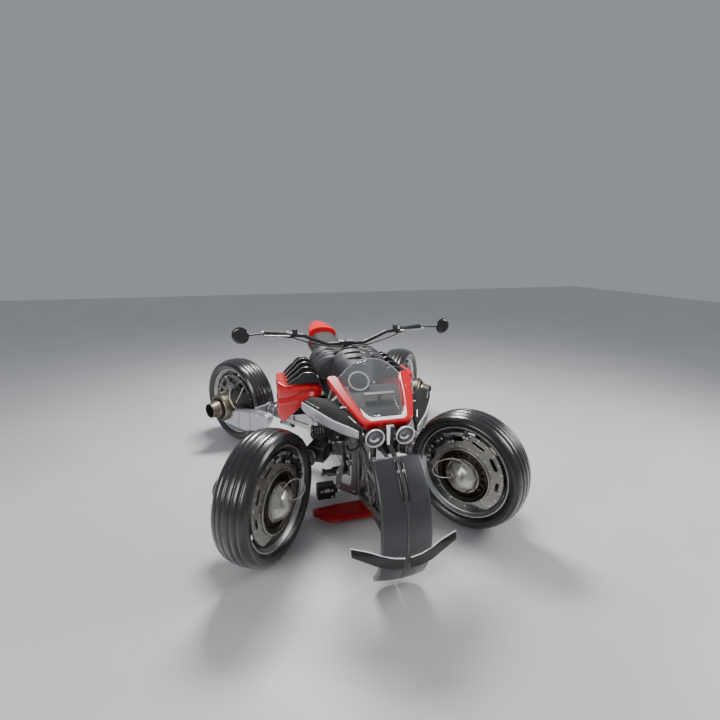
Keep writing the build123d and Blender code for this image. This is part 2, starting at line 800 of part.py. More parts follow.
def make_intake_fins():
    """Arched fins in a row, steep inside and long towards the outer edge."""
    fins = []
    for y, high in fin_rows:
        shape = make_face([
            Line((178, 0), (372, 0)),
            Line((372, 0), (306, high * 0.62)),
            ThreePointArc((306, high * 0.62), (252, high), (198, high * 0.58)),
            Line((198, high * 0.58), (178, 0)),
        ])
        fin = Pos(0, y, cover_top + seat_gap) * extrude(Plane.XZ * shape, amount=8, both=True)
        fins += both_sides(fin)
    return fins


seat_length = 524.0


def make_seat():
    slices = []
    # distance behind the body, half width, height of the top above the deck
    for behind, half, rise in ((seat_gap, 92, 68), (214, 120, 90), (444, 112, 112), (seat_length, 90, 126)):
        y = body_back + behind
        low = seat_deck_z
        top = low + rise
        slices.append(Plane(origin=(0, y, 0), x_dir=(1, 0, 0), z_dir=(0, -1, 0)) * make_face([
            Line((-half, low), (half, low)),
            Line((half, low), (half, top - 26)),
            ThreePointArc((half, top - 26), (0, top), (-half, top - 26)),
            Line((-half, top - 26), (-half, low)),
        ]))
    return loft(slices, ruled=True)


def make_tail():
    slices = []
    start = body_back + seat_length + 2
    # distance behind the seat, half width, height of foot and top above the deck
    for behind, half, foot, rise in ((0, 104, 0, 150), (158, 84, 30, 166), (288, 44, 86, 158)):
        y = start + behind
        low = seat_deck_z + foot
        top = seat_deck_z + rise
        slices.append(Plane(origin=(0, y, 0), x_dir=(1, 0, 0), z_dir=(0, -1, 0)) * make_face([
            Line((-half, low), (half, low)),
            Line((half, low), (half, top - 40)),
            ThreePointArc((half, top - 40), (0, top), (-half, top - 40)),
            Line((-half, top - 40), (-half, low)),
        ]))
    return loft(slices, ruled=True)


def make_tail_lamp():
    back = body_back + seat_length + 290.2
    return box_between((-40, back, 796), (40, back + 14, 826))


def make_foot_pegs():
    outer = spine_half_width + seat_gap
    bracket = side_slab([(236, 404), (322, 404), (322, 436), (236, 466)], outer, outer + 10)
    peg = across_x(13, outer, 236, 300, 420)
    return both_sides(bracket + peg)


# Steering
def bar_tube(radius):
    path = [(-bar_half_length, 0, 80), (-250, -14, 60), (-110, -10, 0), (110, -10, 0), (250, -14, 60),
            (bar_half_length, 0, 80)]
    return bent_tube([(x, bar_y + y, bar_z + z) for x, y, z in path], radius, 50)


def make_handlebar():
    clamp = Pos(0, bar_y - 6, bar_z + 2) * Box(90, 54, 28)
    stem = Pos(0, bar_y, bar_z - 40) * Cylinder(stem_radius, 80)
    beyond = box_between((-bar_straight, bar_y - 60, bar_z - 60), (bar_straight, bar_y + 60, bar_z + 40))
    straight = across_x(bar_radius, -bar_straight, bar_straight, bar_y - 10, bar_z)
    return (bar_tube(bar_radius) - beyond) + straight + clamp + stem


def make_grips():
    grips = []
    for side in (-1, 1):
        inner = (side * 356, bar_y - 7.3, bar_z + 69.6)
        outer = (side * 472, bar_y, bar_z + 80)
        grips.append(tube(inner, outer, 17) - bar_tube(bar_radius + seat_gap))
    return grips


def make_mirrors():
    mirrors = []
    for side in (-1, 1):
        stalk = across_x(8, side * 473.4, side * 486, bar_y, bar_z + 80)
        stalk = stalk + tube((side * 482, bar_y, bar_z + 80), (side * 568, bar_y - 62, bar_z + 84), 6)
        glass = Pos(side * 600, bar_y - 56, bar_z + 84) * Rot(0, 0, side * 12) * Rot(90, 0, 0) * Cylinder(48, 12)
        mirrors.append(stalk + glass)
    return mirrors


def make_levers():
    levers = []
    for side in (-1, 1):
        perch = Pos(side * 322, bar_y - 20, bar_z + 66) * Box(36, 34, 28) - bar_tube(bar_radius + seat_gap)
        lever = bent_tube([(side * 322, bar_y - 36, bar_z + 66), (side * 350, bar_y - 62, bar_z + 70),
                           (side * 470, bar_y - 58, bar_z + 76)], 5, 16)
        levers.append((perch + lever).solids().sort_by(SortBy.VOLUME)[-1])
    return levers


def make_bar_cables():
    """Lever cables, from each perch round to the clamp of the bars."""
    cables = []
    for side in (-1, 1):
        path = [(307, -37.3, 57), (307, -62, 56), (250, -84, 40), (120, -90, 6), (30, -72, -4), (30, -33.1, -4)]
        path = [(side * x, bar_y + y, bar_z + z) for x, y, z in path]
        cables.append(bent_tube(path, 4, 16))
    return cables


# Export
def export_node(name, part):
    placed = Pos(0, frame_y, 0) * (Compound(children=part) if isinstance(part, list) else part)
    export_step(placed, "parts/" + name + ".step")


os.makedirs("parts", exist_ok=True)

tyre = make_tyre()
rim = make_rim()
turbine = make_turbine()
hub_plate = make_hub_plate()
carrier = make_carrier()
arms = {1: make_arm(front_arm), -1: make_arm(rear_arm)}
for corner in corners:
    corner_pieces = [("arm", arms[corner[-1]]), ("carrier", carrier), ("hub_plate", hub_plate),
                     ("turbine", turbine), ("rim", rim), ("tyre", tyre)]
    for piece, part in corner_pieces:
        export_node(piece + "_" + corner[0], place_corner(part, *corner))

whole = [
    ("frame", make_frame()),
    ("cross_members", make_cross_members()),
    ("hinge_brackets", make_hinge_brackets()),
    ("energy_block", make_core()),
    ("bulkhead", make_bulkhead()),
    ("nose_keel", make_keel()),
    ("front_fender", make_fender()),
    ("fender_fins", make_fender_fins()),
    ("belly_pan", make_belly_pan()),
    ("front_units", make_front_units()),
    ("upper_frame", make_upper_frame()),
    ("body_shell", make_body()),
    ("cowl", make_cowl()),
    ("windscreen", make_screen()),
    ("instruments", make_instruments()),
    ("headlamps", make_lamps()),
    ("headlamp_lenses", make_lamp_lenses()),
    ("lamp_bracket", make_lamp_bracket()),
    ("winglets", make_winglets()),
    ("winglet_bands", make_winglet_bands()),
    ("side_covers", make_side_covers()),
    ("intake_fins", make_intake_fins()),
    ("seat", make_seat()),
    ("tail", make_tail()),
    ("tail_lamp", make_tail_lamp()),
    ("foot_pegs", make_foot_pegs()),
    ("handlebar", make_handlebar()),
    ("grips", make_grips()),
    ("mirrors", make_mirrors()),
    ("levers", make_levers()),
    ("bar_cables", make_bar_cables()),
]
for name, part in whole:
    export_node(name, part)
print("front hinge", folded_half, front_hinge_y, "rear hinge", rear_hinge_y, "arms", front_arm, rear_arm)
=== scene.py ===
import json
import math

import bmesh
import bpy
from mathutils import Matrix, Vector


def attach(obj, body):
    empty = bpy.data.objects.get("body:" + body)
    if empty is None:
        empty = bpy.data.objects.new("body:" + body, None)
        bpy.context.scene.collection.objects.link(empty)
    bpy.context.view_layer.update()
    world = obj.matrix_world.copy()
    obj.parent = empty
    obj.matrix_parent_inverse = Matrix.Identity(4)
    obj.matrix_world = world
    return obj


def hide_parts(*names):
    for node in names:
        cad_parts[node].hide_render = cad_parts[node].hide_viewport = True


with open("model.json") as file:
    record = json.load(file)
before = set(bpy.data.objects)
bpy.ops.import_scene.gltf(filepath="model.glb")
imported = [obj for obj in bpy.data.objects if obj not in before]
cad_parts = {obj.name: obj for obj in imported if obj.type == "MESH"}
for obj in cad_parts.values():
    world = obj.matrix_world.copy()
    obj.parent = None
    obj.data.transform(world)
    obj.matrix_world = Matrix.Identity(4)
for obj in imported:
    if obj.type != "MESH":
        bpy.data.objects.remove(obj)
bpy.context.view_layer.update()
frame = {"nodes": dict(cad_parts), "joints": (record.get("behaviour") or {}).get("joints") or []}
scene = bpy.context.scene


# View and light

view = {
    "place": (-0.5653, -2.4894, 1.4360),
    "yaw": 14.81,       # degrees, towards the rider's left
    "pitch": 14.37,     # degrees below the horizon
    "lens": 21.8,       # mm on a 36 mm sensor
    "farthest": 60,
    "world": (0.80, 0.84, 0.90, 1.0),
    "worldStrength": 0.36,
    "floorSize": 12,
}


def setView():
    camera = bpy.data.objects.new("camera", bpy.data.cameras.new("camera"))
    scene.collection.objects.link(camera)
    camera.location = view["place"]
    camera.rotation_euler = (math.radians(90 - view["pitch"]), 0, math.radians(-view["yaw"]))
    camera.data.lens = view["lens"]
    camera.data.sensor_width = 36
    camera.data.clip_end = view["farthest"]
    scene.camera = camera


# name, place, aim, size, power
lamps = [
    ("roomPanel", (-0.02, 1.25, 3.0), (0.0, 0.0, 0.4), (1.1, 0.6), 130),
    ("windowPanel", (3.2, -1.0, 2.3), (0.2, -0.3, 0.5), (1.8, 1.6), 75),
    ("fillPanel", (-3.0, -2.6, 2.2), (0.0, -0.4, 0.4), (1.8, 1.6), 60),
]


def setLights():
    for name, place, aim, size, power in lamps:
        data = bpy.data.lights.new(name, "AREA")
        data.shape = "RECTANGLE"
        data.size, data.size_y = size
        data.energy = power
        lamp = bpy.data.objects.new(name, data)
        scene.collection.objects.link(lamp)
        lamp.location = place
        lamp.rotation_euler = (Vector(aim) - Vector(place)).to_track_quat("-Z", "Y").to_euler()
    scene.world = bpy.data.worlds.new("studio")
    scene.world.use_nodes = True
    sky = scene.world.node_tree.nodes["Background"].inputs
    sky["Color"].default_value = view["world"]
    sky["Strength"].default_value = view["worldStrength"]


# Materials

class Signal:           # one socket of a material, with maths on it
    def __init__(self, mix, socket):
        self.mix = mix
        self.socket = socket

    def maths(self, operation, other):
        return self.mix.add("ShaderNodeMath", {"operation": operation}, [self, other])

    def __add__(self, other):
        return self.maths("ADD", other)

    def __mul__(self, other):
        return self.maths("MULTIPLY", other)

    __radd__ = __add__
    __rmul__ = __mul__


class Finish:           # one material; add makes every node of it
    def __init__(self, name):
        self.material = bpy.data.materials.new(name)
        self.material.use_nodes = True
        self.tree = self.material.node_tree
        self.shader = self.tree.nodes["Principled BSDF"]

    def add(self, kind, settings, values, output=0):
        node = self.tree.nodes.new(kind)
        for key, value in settings.items():
            setattr(node, key, value)
        pairs = values.items() if isinstance(values, dict) else enumerate(values)
        for key, value in pairs:
            self.put(node.inputs[key], value)
        return Signal(self, node.outputs[output])

    def put(self, socket, value):
        if isinstance(value, Signal):
            self.tree.links.new(value.socket, socket)
        else:
            socket.default_value = value

    def place(self):
        return self.add("ShaderNodeTexCoord", {}, {}, "Object")

    def noise(self, scale, detail=3, rough=0.5, stretch=(1, 1, 1)):
        here = self.add("ShaderNodeMapping", {"vector_type": "POINT"},
                        {"Vector": self.place(), "Scale": stretch})
        return self.add("ShaderNodeTexNoise", {},
                        {"Vector": here, "Scale": scale, "Detail": detail, "Roughness": rough}, "Fac")

    def ramp(self, signal, low, high):
        return self.add("ShaderNodeMapRange", {"clamp": True},
                        {"Value": signal, "From Min": low, "From Max": high, "To Min": 0.0, "To Max": 1.0})

    def tones(self, first, second, patch, detail=4, rough=0.55, low=0.42, high=0.68):
        # two colours in soft patches
        mask = self.ramp(self.noise(patch, detail, rough), low, high)
        return self.add("ShaderNodeMix", {"data_type": "RGBA"}, {0: mask, 6: (*first, 1), 7: (*second, 1)}, 2)

    def bump(self, height, depth, strength):
        self.set(Normal=self.add("ShaderNodeBump", {},
                                 {"Strength": strength, "Distance": depth, "Height": height}))

    def set(self, **values):
        for key, value in values.items():
            self.put(self.shader.inputs[key.replace("_", " ")], value)
        return self


def paint(name, first, second, patch, grain, least, spread, relief=None, **sockets):
    # two tones in patches; a roughness from least up, over a grain;
    # a relief of its own grain, depth and strength
    f = Finish(name)
    patches = patch if isinstance(patch, tuple) else (patch,)
    rough = f.noise(*grain)
    f.set(Base_Color=f.tones(first, second, *patches), Roughness=rough * spread + least, **sockets)
    if relief:
        own, depth, strength = relief
        f.bump(f.noise(*own) if own else rough, depth, strength)
    return f


def satinBlack(name="satinBlack", coat=0.35, rough=0.30, shine=0.5, tone=1.0):
    return paint(name, (0.020 * tone, 0.020 * tone, 0.022 * tone), (0.034 * tone, 0.034 * tone, 0.037 * tone),
                 5, (14,), rough, 0.10, ((520, 2), 0.0002, 0.18),
                 Specular_IOR_Level=shine, Coat_Weight=coat, Coat_Roughness=0.32)


def redPaint(name, colour, fleck):
    return paint(name, colour, fleck, (1500, 1, 0.4, 0.45, 0.75), (12,), 0.20, 0.10, ((210, 2), 0.0002, 0.06),
                 Coat_Weight=0.30, Coat_Roughness=0.10, Specular_IOR_Level=0.35)


def machinedAlloy(name, tone):
    return paint(name, (tone, tone, tone * 1.01), (tone * 0.72, tone * 0.72, tone * 0.71),
                 (11, 4, 0.6, 0.35, 0.75), (60, 3, 0.6, (1, 1, 22)), 0.22, 0.22, (None, 0.0003, 0.22),
                 Metallic=1.0)


def metal(name, colour, other, patch, rough, brush=(1, 1, 1)):
    # a metal of two tones with a brushed or cast grain
    return paint(name, colour, other, (patch, 4, 0.55, 0.38, 0.70), (patch * 8, 3, 0.6, brush), rough, 0.20,
                 (None, 0.0003, 0.16), Metallic=0.92)


def whiteEnamel(name, colour, other, metallic=0.0):
    return paint(name, colour, other, 10, (30,), 0.20, 0.1, ((300, 2), 0.0002, 0.08), Metallic=metallic,
                 Coat_Weight=0.6)


def tyreRubber():
    f = paint("tyreRubber", (0.009, 0.009, 0.010), (0.020, 0.020, 0.021), 6, (9, 5, 0.6), 0.20, 0.16,
              ((900, 2), 0.0002, 0.22), Coat_Weight=0.75, Coat_Roughness=0.20)
    return f.set(Roughness=f.ramp(f.noise(9, 5, 0.6), 0.15, 0.85) * 0.16 + 0.20)


# a self-lit pale finish: painted light, which keeps edges, lips, rings and arcs bright whatever the lamps do
def selfLitPaint():
    f = paint("selfLitPaint", (0.80, 0.80, 0.80), (0.90, 0.90, 0.90), 60, (120, 2), 0.25, 0.1,
              Emission_Strength=0.35)
    return f.set(Emission_Color=f.tones((0.9, 0.92, 1.0), (1.0, 1.0, 1.0), 60))


def seatLeather():
    f = paint("seatLeather", (0.020, 0.020, 0.021), (0.034, 0.034, 0.035), 8, (20,), 0.42, 0.15)
    cells = f.add("ShaderNodeTexVoronoi", {"feature": "DISTANCE_TO_EDGE"},
                  {"Vector": f.place(), "Scale": 420.0}, "Distance")
    f.bump(f.ramp(cells, 0.0, 0.12), 0.0004, 0.35)
    return f


finishes = {}


def makeFinishes():
    made = {
        "tyre": tyreRubber(),
        "satin": satinBlack(),
        "panel": satinBlack("panel", 0.0, 0.56, 0.16),
        "shell": satinBlack("shell", 0.0, 0.46, 0.40, 2.6),
        "guard": satinBlack("guardBlack", 0.5, 0.34, 0.6, 1.9),
        "gloss": paint("glossBlack", (0.012, 0.012, 0.013), (0.020, 0.020, 0.022), 6, (20,), 0.14, 0.08,
                       ((160, 2), 0.0002, 0.08), Coat_Weight=0.6, Coat_Roughness=0.06),
        "matt": paint("mattBlack", (0.024, 0.024, 0.026), (0.045, 0.044, 0.045), 8, (30, 4), 0.45, 0.15,
                      ((700, 3, 0.6), 0.0003, 0.35)),
        "red": redPaint("redPaint", (0.64, 0.006, 0.012), (0.78, 0.018, 0.026)),
        # a darker copy of the red paint for the belly tray, which sits low in shade: painted shade
        "shadedRed": redPaint("shadedRed", (0.34, 0.008, 0.012), (0.44, 0.016, 0.020)),
        "alloy": machinedAlloy("machinedAlloy", 0.58),
        # darker copy of the machined alloy for the insides of the wheels: painted shade
        "wheelShadeAlloy": machinedAlloy("wheelShadeAlloy", 0.22),
        "steel": machinedAlloy("steel", 0.50),
        "bright": machinedAlloy("bright", 0.80),
        "casing": paint("casingSilver", (0.50, 0.50, 0.56), (0.60, 0.60, 0.66), 6, (25,), 0.26, 0.12,
                        ((600, 2), 0.0002, 0.12), Metallic=0.75, Coat_Weight=0.3, Coat_Roughness=0.15),
        "cream": paint("creamMetal", (0.66, 0.63, 0.55), (0.76, 0.73, 0.66), 20, (60, 3, 0.6), 0.3, 0.15,
                       ((300, 2), 0.0002, 0.15), Metallic=0.6),
        "white": whiteEnamel("whiteEnamel", (0.72, 0.72, 0.74), (0.80, 0.80, 0.82)),
        "band": whiteEnamel("bandSilver", (0.60, 0.60, 0.61), (0.42, 0.43, 0.45), 0.35),
        # a darker, warmer copy of the alloy for the keel and the front arms, which sit in shade: painted
        # shade
        "shade": metal("shadeAlloy", (0.21, 0.205, 0.195), (0.13, 0.127, 0.12), 9, 0.34),
        "tin": metal("tinGrey", (0.42, 0.42, 0.42), (0.30, 0.30, 0.30), 15, 0.28),
        "khaki": metal("khakiCan", (0.30, 0.265, 0.205), (0.21, 0.185, 0.145), 9, 0.30, (1, 1, 10)),
        # dark brown for the inside of the intake: painted shade
        "duct": metal("shadeBrown", (0.115, 0.095, 0.075), (0.050, 0.042, 0.036), 12, 0.36),
        "dome": metal("domeMetal", (0.66, 0.64, 0.57), (0.55, 0.53, 0.48), 10, 0.20),
        "bell": metal("bellMetal", (0.50, 0.48, 0.43), (0.34, 0.32, 0.29), 13, 0.24),
        "mirror": metal("mirrorGlass", (0.86, 0.87, 0.88), (0.82, 0.83, 0.84), 3, 0.0),
        "screen": paint("smokeScreen", (0.16, 0.17, 0.175), (0.21, 0.22, 0.225), 4, (8, 2), 0.04, 0.03,
                        Alpha=0.36, Coat_Weight=1.0, Coat_Roughness=0.03),
        "screenEdge": paint("screenEdge", (0.45, 0.46, 0.48), (0.60, 0.61, 0.63), 20, (60, 2), 0.12, 0.1),
        "dialFace": paint("dialFace", (0.10, 0.105, 0.11), (0.14, 0.145, 0.15), 40, (90, 2), 0.18, 0.1,
                          Coat_Weight=0.6),
        "eye": paint("lampEye", (0.22, 0.21, 0.21), (0.36, 0.34, 0.33), 60, (120, 2), 0.12, 0.1, Metallic=0.7,
                     Coat_Weight=1.0),
        "lens": paint("lampLens", (0.75, 0.77, 0.80), (0.85, 0.87, 0.90), 30, (40, 2), 0.03, 0.03, Alpha=0.08,
                      Coat_Weight=1.0),
        "tailRed": paint("tailRed", (0.35, 0.008, 0.008), (0.45, 0.012, 0.012), 30, (60, 2), 0.08, 0.05,
                         Coat_Weight=1.0),
        # self-lit pale finish for painted highlights and painted light
        "paintedLight": selfLitPaint(),
        "leather": seatLeather(),
        "grip": paint("gripRubber", (0.020, 0.020, 0.020), (0.030, 0.030, 0.030), 15, (40,), 0.5, 0.15,
                      ((1200, 2), 0.0003, 0.3)),
        "floor": paint("paleFloor", (0.62, 0.62, 0.63), (0.66, 0.66, 0.67), 1.2, (5,), 0.35, 0.1),
    }
    finishes.update({name: finish.material for name, finish in made.items()})


# Which finish each carried-over node takes

nodeFinish = {
    "frame": "tin", "energy_block": "satin", "bulkhead": "tin", "nose_keel": "shade", "front_fender": "satin",
    "fender_fins": "gloss", "belly_pan": "red", "upper_frame": "satin", "body_shell": "matt", "cowl": "red",
    "windscreen": "screen", "instruments": "matt", "headlamps": "white", "headlamp_lenses": "lens",
    "lamp_bracket": "alloy", "winglets": "gloss", "winglet_bands": "white", "side_covers": "red",
    "intake_fins": "gloss", "seat": "leather", "tail": "red", "tail_lamp": "tailRed", "foot_pegs": "alloy",
    "handlebar": "satin", "grips": "grip", "mirrors": "gloss", "levers": "alloy",
    "cross_members": "steel", "hinge_brackets": "steel", "front_units": "satin", "bar_cables": "matt",
}
cornerNames = ["front_left", "front_right", "rear_left", "rear_right"]
cornerFinish = {"arm": "alloy", "carrier": "casing", "hub_plate": "bell", "turbine": "khaki", "rim": "alloy",
                "tyre": "tyre"}


def dressNodes():
    for corner in cornerNames:
        for name, finish in cornerFinish.items():
            nodeFinish[name + "_" + corner] = finish
        # the front arms take the darker alloy and the rear arms the bright one: painted shade
        if corner.startswith("front"):
            nodeFinish["arm_" + corner] = "shade"
    for name, node in frame["nodes"].items():
        node.data.materials.clear()
        node.data.materials.append(finishes[nodeFinish[name]])


# Mesh helpers

def linked(name, bm):
    mesh = bpy.data.meshes.new(name)
    bm.to_mesh(mesh)
    bm.free()
    made = bpy.data.objects.new(name, mesh)
    scene.collection.objects.link(made)
    return made


def join(target, part, matrix=Matrix()):
    mesh = bpy.data.meshes.new("part")
    part.to_mesh(mesh)
    part.free()
    mesh.transform(matrix)
    target.from_mesh(mesh)
    bpy.data.meshes.remove(mesh)
    return target


def gather(parts):
    # a list of meshes as one
    if not isinstance(parts, list):
        return parts
    whole = bmesh.new()
    for part in parts:
        join(whole, part)
    return whole


def moved(bm, matrix):
    bm.transform(matrix)
    return bm


def rotation(degrees, axis):
    return Matrix.Rotation(math.radians(degrees), 4, axis)


def paired(parts):
    # the parts and their mirror image
    bm = gather(parts)
    other = bm.copy()
    bmesh.ops.transform(other, matrix=Matrix.Scale(-1, 4, (1, 0, 0)), verts=other.verts)
    return gather([bm, other])


def bow(first, last, rise, steps):
    # points of an arc from first towards last, which stands proud to the left by rise; last is left out
    a, b = Vector(first), Vector(last)
    chord = b - a
    left = Vector((-chord.y, chord.x)).normalized()
    points = []
    for i in range(steps):
        t = i / steps
        points.append(tuple(a + chord * t + left * rise * 4 * t * (1 - t)))
    return points


def polar(angle, radius):
    turn = math.radians(angle)
    return radius * math.cos(turn), radius * math.sin(turn)


def mixed(rows, key):
    # the row of a table at a value of its first column, by straight steps between rows
    for low, high in zip(rows, rows[1:]):
        if key <= high[0]:
            t = max(0.0, (key - low[0]) / (high[0] - low[0]))
            return [a + (b - a) * t for a, b in zip(low, high)]
    return list(rows[-1])


def lathe(outline, steps, closed=True):
    # spins an (along, radius) outline round X
    bm = bmesh.new()
    verts = [bm.verts.new((along, radius, 0)) for along, radius in outline]
    edges = [bm.edges.new(pair) for pair in zip(verts, verts[1:])]
    if closed:
        edges.append(bm.edges.new((verts[-1], verts[0])))
    bmesh.ops.spin(bm, geom=verts + edges, cent=(0, 0, 0), axis=(1, 0, 0), angle=math.tau, steps=steps,
                   use_merge=True)
    bmesh.ops.remove_doubles(bm, verts=bm.verts, dist=0.00001)
    return bm


def sheet(across, along, shape):
    bm = bmesh.new()
    bmesh.ops.create_grid(bm, x_segments=across, y_segments=along, size=1)
    for vert in bm.verts:
        vert.co = shape((vert.co.x + 1) / 2, (vert.co.y + 1) / 2)
    return bm


def prism(outline, depth):
    # a flat (x, y) outline made solid towards +z
    bm = bmesh.new()
    face = bm.faces.new([bm.verts.new((x, y, 0)) for x, y in outline])
    raised = bmesh.ops.extrude_face_region(bm, geom=[face])
    verts = [item for item in raised["geom"] if isinstance(item, bmesh.types.BMVert)]
    bmesh.ops.translate(bm, verts=verts, vec=(0, 0, depth))
    return bm


def skin(rings):
    bm = bmesh.new()
    loops = []
    for ring in rings:
        verts = [bm.verts.new(point) for point in ring]
        loops.append([bm.edges.new(pair) for pair in zip(verts, verts[1:] + verts[:1])])
    for near, far in zip(loops, loops[1:]):
        bmesh.ops.bridge_loops(bm, edges=near + far)
    bmesh.ops.holes_fill(bm, edges=loops[0] + loops[-1], sides=0)
    return bm


def block(size, place, turn=(0, 0, 0)):
    bm = bmesh.new()
    spin = rotation(turn[2], "Z") @ rotation(turn[1], "Y") @ rotation(turn[0], "X")
    bmesh.ops.create_cube(bm, size=1, matrix=Matrix.Translation(place) @ spin @ Matrix.Diagonal((*size, 1)))
    return bm


def rod(start, end, radius, sides=24):
    bm = bmesh.new()
    line = Vector(end) - Vector(start)
    turn = line.to_track_quat("Z", "Y").to_matrix().to_4x4()
    bmesh.ops.create_cone(bm, cap_ends=True, segments=sides, radius1=radius, radius2=radius,
                          depth=line.length,
                          matrix=Matrix.Translation((Vector(start) + Vector(end)) / 2) @ turn)
    return bm


def ball(place, radius, across, along):
    bm = bmesh.new()
    bmesh.ops.create_uvsphere(bm, u_segments=across, v_segments=along, radius=radius,
                              matrix=Matrix.Translation(place))
    return bm


def pipe(points, radius, sides=2):
    # a tube along a smooth line through the points' corners
    data = bpy.data.curves.new("pipe", "CURVE")
    data.dimensions = "3D"
    line = data.splines.new("NURBS")
    line.points.add(len(points) - 1)
    for point, place in zip(line.points, points):
        point.co = (*place, 1)
    line.order_u = 3
    line.use_endpoint_u = True
    line.resolution_u = 6
    data.bevel_depth = radius
    data.bevel_resolution = sides
    data.use_fill_caps = True
    holder = bpy.data.objects.new("pipe", data)
    mesh = bpy.data.meshes.new_from_object(holder)
    bm = bmesh.new()
    bm.from_mesh(mesh)
    bpy.data.objects.remove(holder)
    bpy.data.meshes.remove(mesh)
    return bm


# radius and height of the bolt heads
boltHeads = {
    "hubPlate": (0.0044, 0.0055), "hubRing": (0.0034, 0.0045), "hubLip": (0.0032, 0.004),
    "hubBlock": (0.0056, 0.008), "band": (0.0042, 0.005), "rim": (0.004, 0.006), "rimHub": (0.004, 0.005),
    "casing": (0.0042, 0.0045), "pivot": (0.0034, 0.0035), "fender": (0.0045, 0.005),
    "frame": (0.0055, 0.006), "hinge": (0.0040, 0.005), "keel": (0.0065, 0.0025), "socket": (0.0055, 0.004),
    "case": (0.0052, 0.006), "cooler": (0.0036, 0.005), "coolerCap": (0.010, 0.006), "plug": (0.005, 0.008),
    "lever": (0.0045, 0.004), "riser": (0.0045, 0.006),
}


def bolts(places, towards, kind):
    # hex heads on washers
    radius, height = boltHeads[kind]
    heads = bmesh.new()
    turn = Vector(towards).to_track_quat("Z", "Y").to_matrix().to_4x4()
    for place in places:
        here = Matrix.Translation(place) @ turn
        for sides, low, high, share in ((12, 1.5, 1.5, 0.3), (6, 1.0, 0.94, 1.0)):
            bmesh.ops.create_cone(heads, cap_ends=True, segments=sides, radius1=radius * low,
                                  radius2=radius * high, depth=height * share,
                                  matrix=here @ Matrix.Translation((0, 0, height * share / 2)))
    return heads


def ringPlaces(count, radius, along, first=0.0, span=360.0):
    return [(along, *polar(first + span * i / count, radius)) for i in range(count)]


def piece(name, parts, finish, body="root", slot=None, replaces=(), bevel=0.0, smooth=35, soften=0,
          shell=0.0):
    bm = gather(parts)
    bmesh.ops.recalc_face_normals(bm, faces=bm.faces)
    made = linked(name, bm)
    made.data.materials.append(finishes[finish])
    made.data.shade_smooth()
    if not bevel and not soften:
        made.data.set_sharp_from_angle(angle=math.radians(smooth))
    if shell:
        wall = made.modifiers.new("wall", "SOLIDIFY")
        wall.thickness = shell
        wall.offset = 0
    if soften:
        finer = made.modifiers.new("soften", "SUBSURF")
        finer.levels = finer.render_levels = soften
    if bevel:
        edge = made.modifiers.new("edge", "BEVEL")
        edge.width = bevel
        edge.segments = 3
        edge.limit_method = "ANGLE"
        edge.angle_limit = math.radians(32)
        edge.harden_normals = True
    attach(made, body)
    if replaces:
        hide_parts(*replaces)
    return made


def makeFloor():
    bm = bmesh.new()
    bmesh.ops.create_grid(bm, x_segments=2, y_segments=2, size=view["floorSize"])
    floor = linked("floor", bm)
    floor.data.materials.append(finishes["floor"])


# Corners: local X outboard along the wheel's axis, Y from the wheel to the arm's hinge

joints = {joint["name"]: joint for joint in frame["joints"]}


def cornerMatrix(corner):
    spin = joints["wheel_spin_" + corner]
    centre = Vector(spin["pos_m"])
    outward = Vector(spin["axis"]).normalized()
    inward = Vector(joints["arm_swing_" + corner]["pos_m"]) - centre
    inward.z = 0
    inward.normalize()
    matrix = Matrix((outward, inward, (0, 0, 1))).transposed().to_4x4()
    matrix.translation = centre
    return matrix


cornerMatrices = {corner: cornerMatrix(corner) for corner in cornerNames}


def atCorners(name, parts, finish, body="carrier", slot=None, replaces="", **more):
    bm = gather(parts)
    for corner, matrix in cornerMatrices.items():
        copy = bm.copy()
        bmesh.ops.transform(copy, matrix=matrix, verts=copy.verts)
        piece(name + "_" + corner, copy, finish, body + "_" + corner, slot,
              [replaces + "_" + corner] if replaces else [], **more)
    bm.free()


# Tyres

tyre = {
    "radius": 0.315, "crownHalf": 0.080, "shoulder": 0.298, "bulge": 0.0158,
    "lip": 0.0682, "lipRadius": 0.2442, "bead": 0.2382, "inside": 0.0618,
    "grooves": (0.019, 0.050), "grooveHalf": 0.0062, "grooveDepth": 0.0042,
    "ridges": (0.287, 0.276, 0.262, 0.252), "ridge": 0.0012, "steps": 144,
}


def crownRadius(across):
    drop = tyre["radius"] - tyre["shoulder"]
    dips = [math.exp(-((across - groove) / tyre["grooveHalf"]) ** 2) for groove in tyre["grooves"]]
    return tyre["radius"] - drop * abs(across / tyre["crownHalf"]) ** 2.2 - tyre["grooveDepth"] * sum(dips)


def wallAcross(radius):
    t = (radius - tyre["lipRadius"]) / (tyre["shoulder"] - tyre["lipRadius"])
    return tyre["lip"] + (tyre["crownHalf"] - tyre["lip"]) * t + tyre["bulge"] * 4 * t * (1 - t)


def tyreHalf():
    # from the middle of the crown out to the bead
    points = [(tyre["crownHalf"] * i / 36, crownRadius(tyre["crownHalf"] * i / 36)) for i in range(36)]
    radius = tyre["shoulder"]
    while radius > tyre["lipRadius"] + 0.002:
        near = min(abs(radius - ridge) for ridge in tyre["ridges"])
        lift = tyre["ridge"] if near < 0.0016 else 0.0
        points.append((wallAcross(radius) - tyre["ridge"] + lift, radius))
        radius -= 0.003
    return points + [(tyre["lip"], tyre["lipRadius"]), (tyre["inside"], tyre["lipRadius"]),
                     (tyre["inside"], tyre["bead"])]


def makeTyres():
    half = tyreHalf()
    outline = half + [(-across, radius) for across, radius in reversed(half)][:-1]
    atCorners("tyreTread", lathe(outline, tyre["steps"]), "tyre", "wheel", replaces="tyre", smooth=40)


# Hubs

hub = {
    "drop": 0.020, "plateFace": -0.060,
    "ring": 0.150, "lip": 0.142, "throat": 0.112, "face": -0.072, "floor": -0.028,
    "canRadius": 0.098, "canEnd": 0.200, "nozzleRoot": 0.062, "nozzleMouth": 0.052, "nozzleEnd": 0.275,
    "nozzleWall": 0.0035, "rimLip": 0.068, "rimRadius": 0.244,
}


def atTurbine(name, parts, finish, **more):
    # the turbine sits a little below the wheel's centre
    atCorners(name, moved(gather(parts), Matrix.Translation((0, 0, -hub["drop"]))), finish, **more)


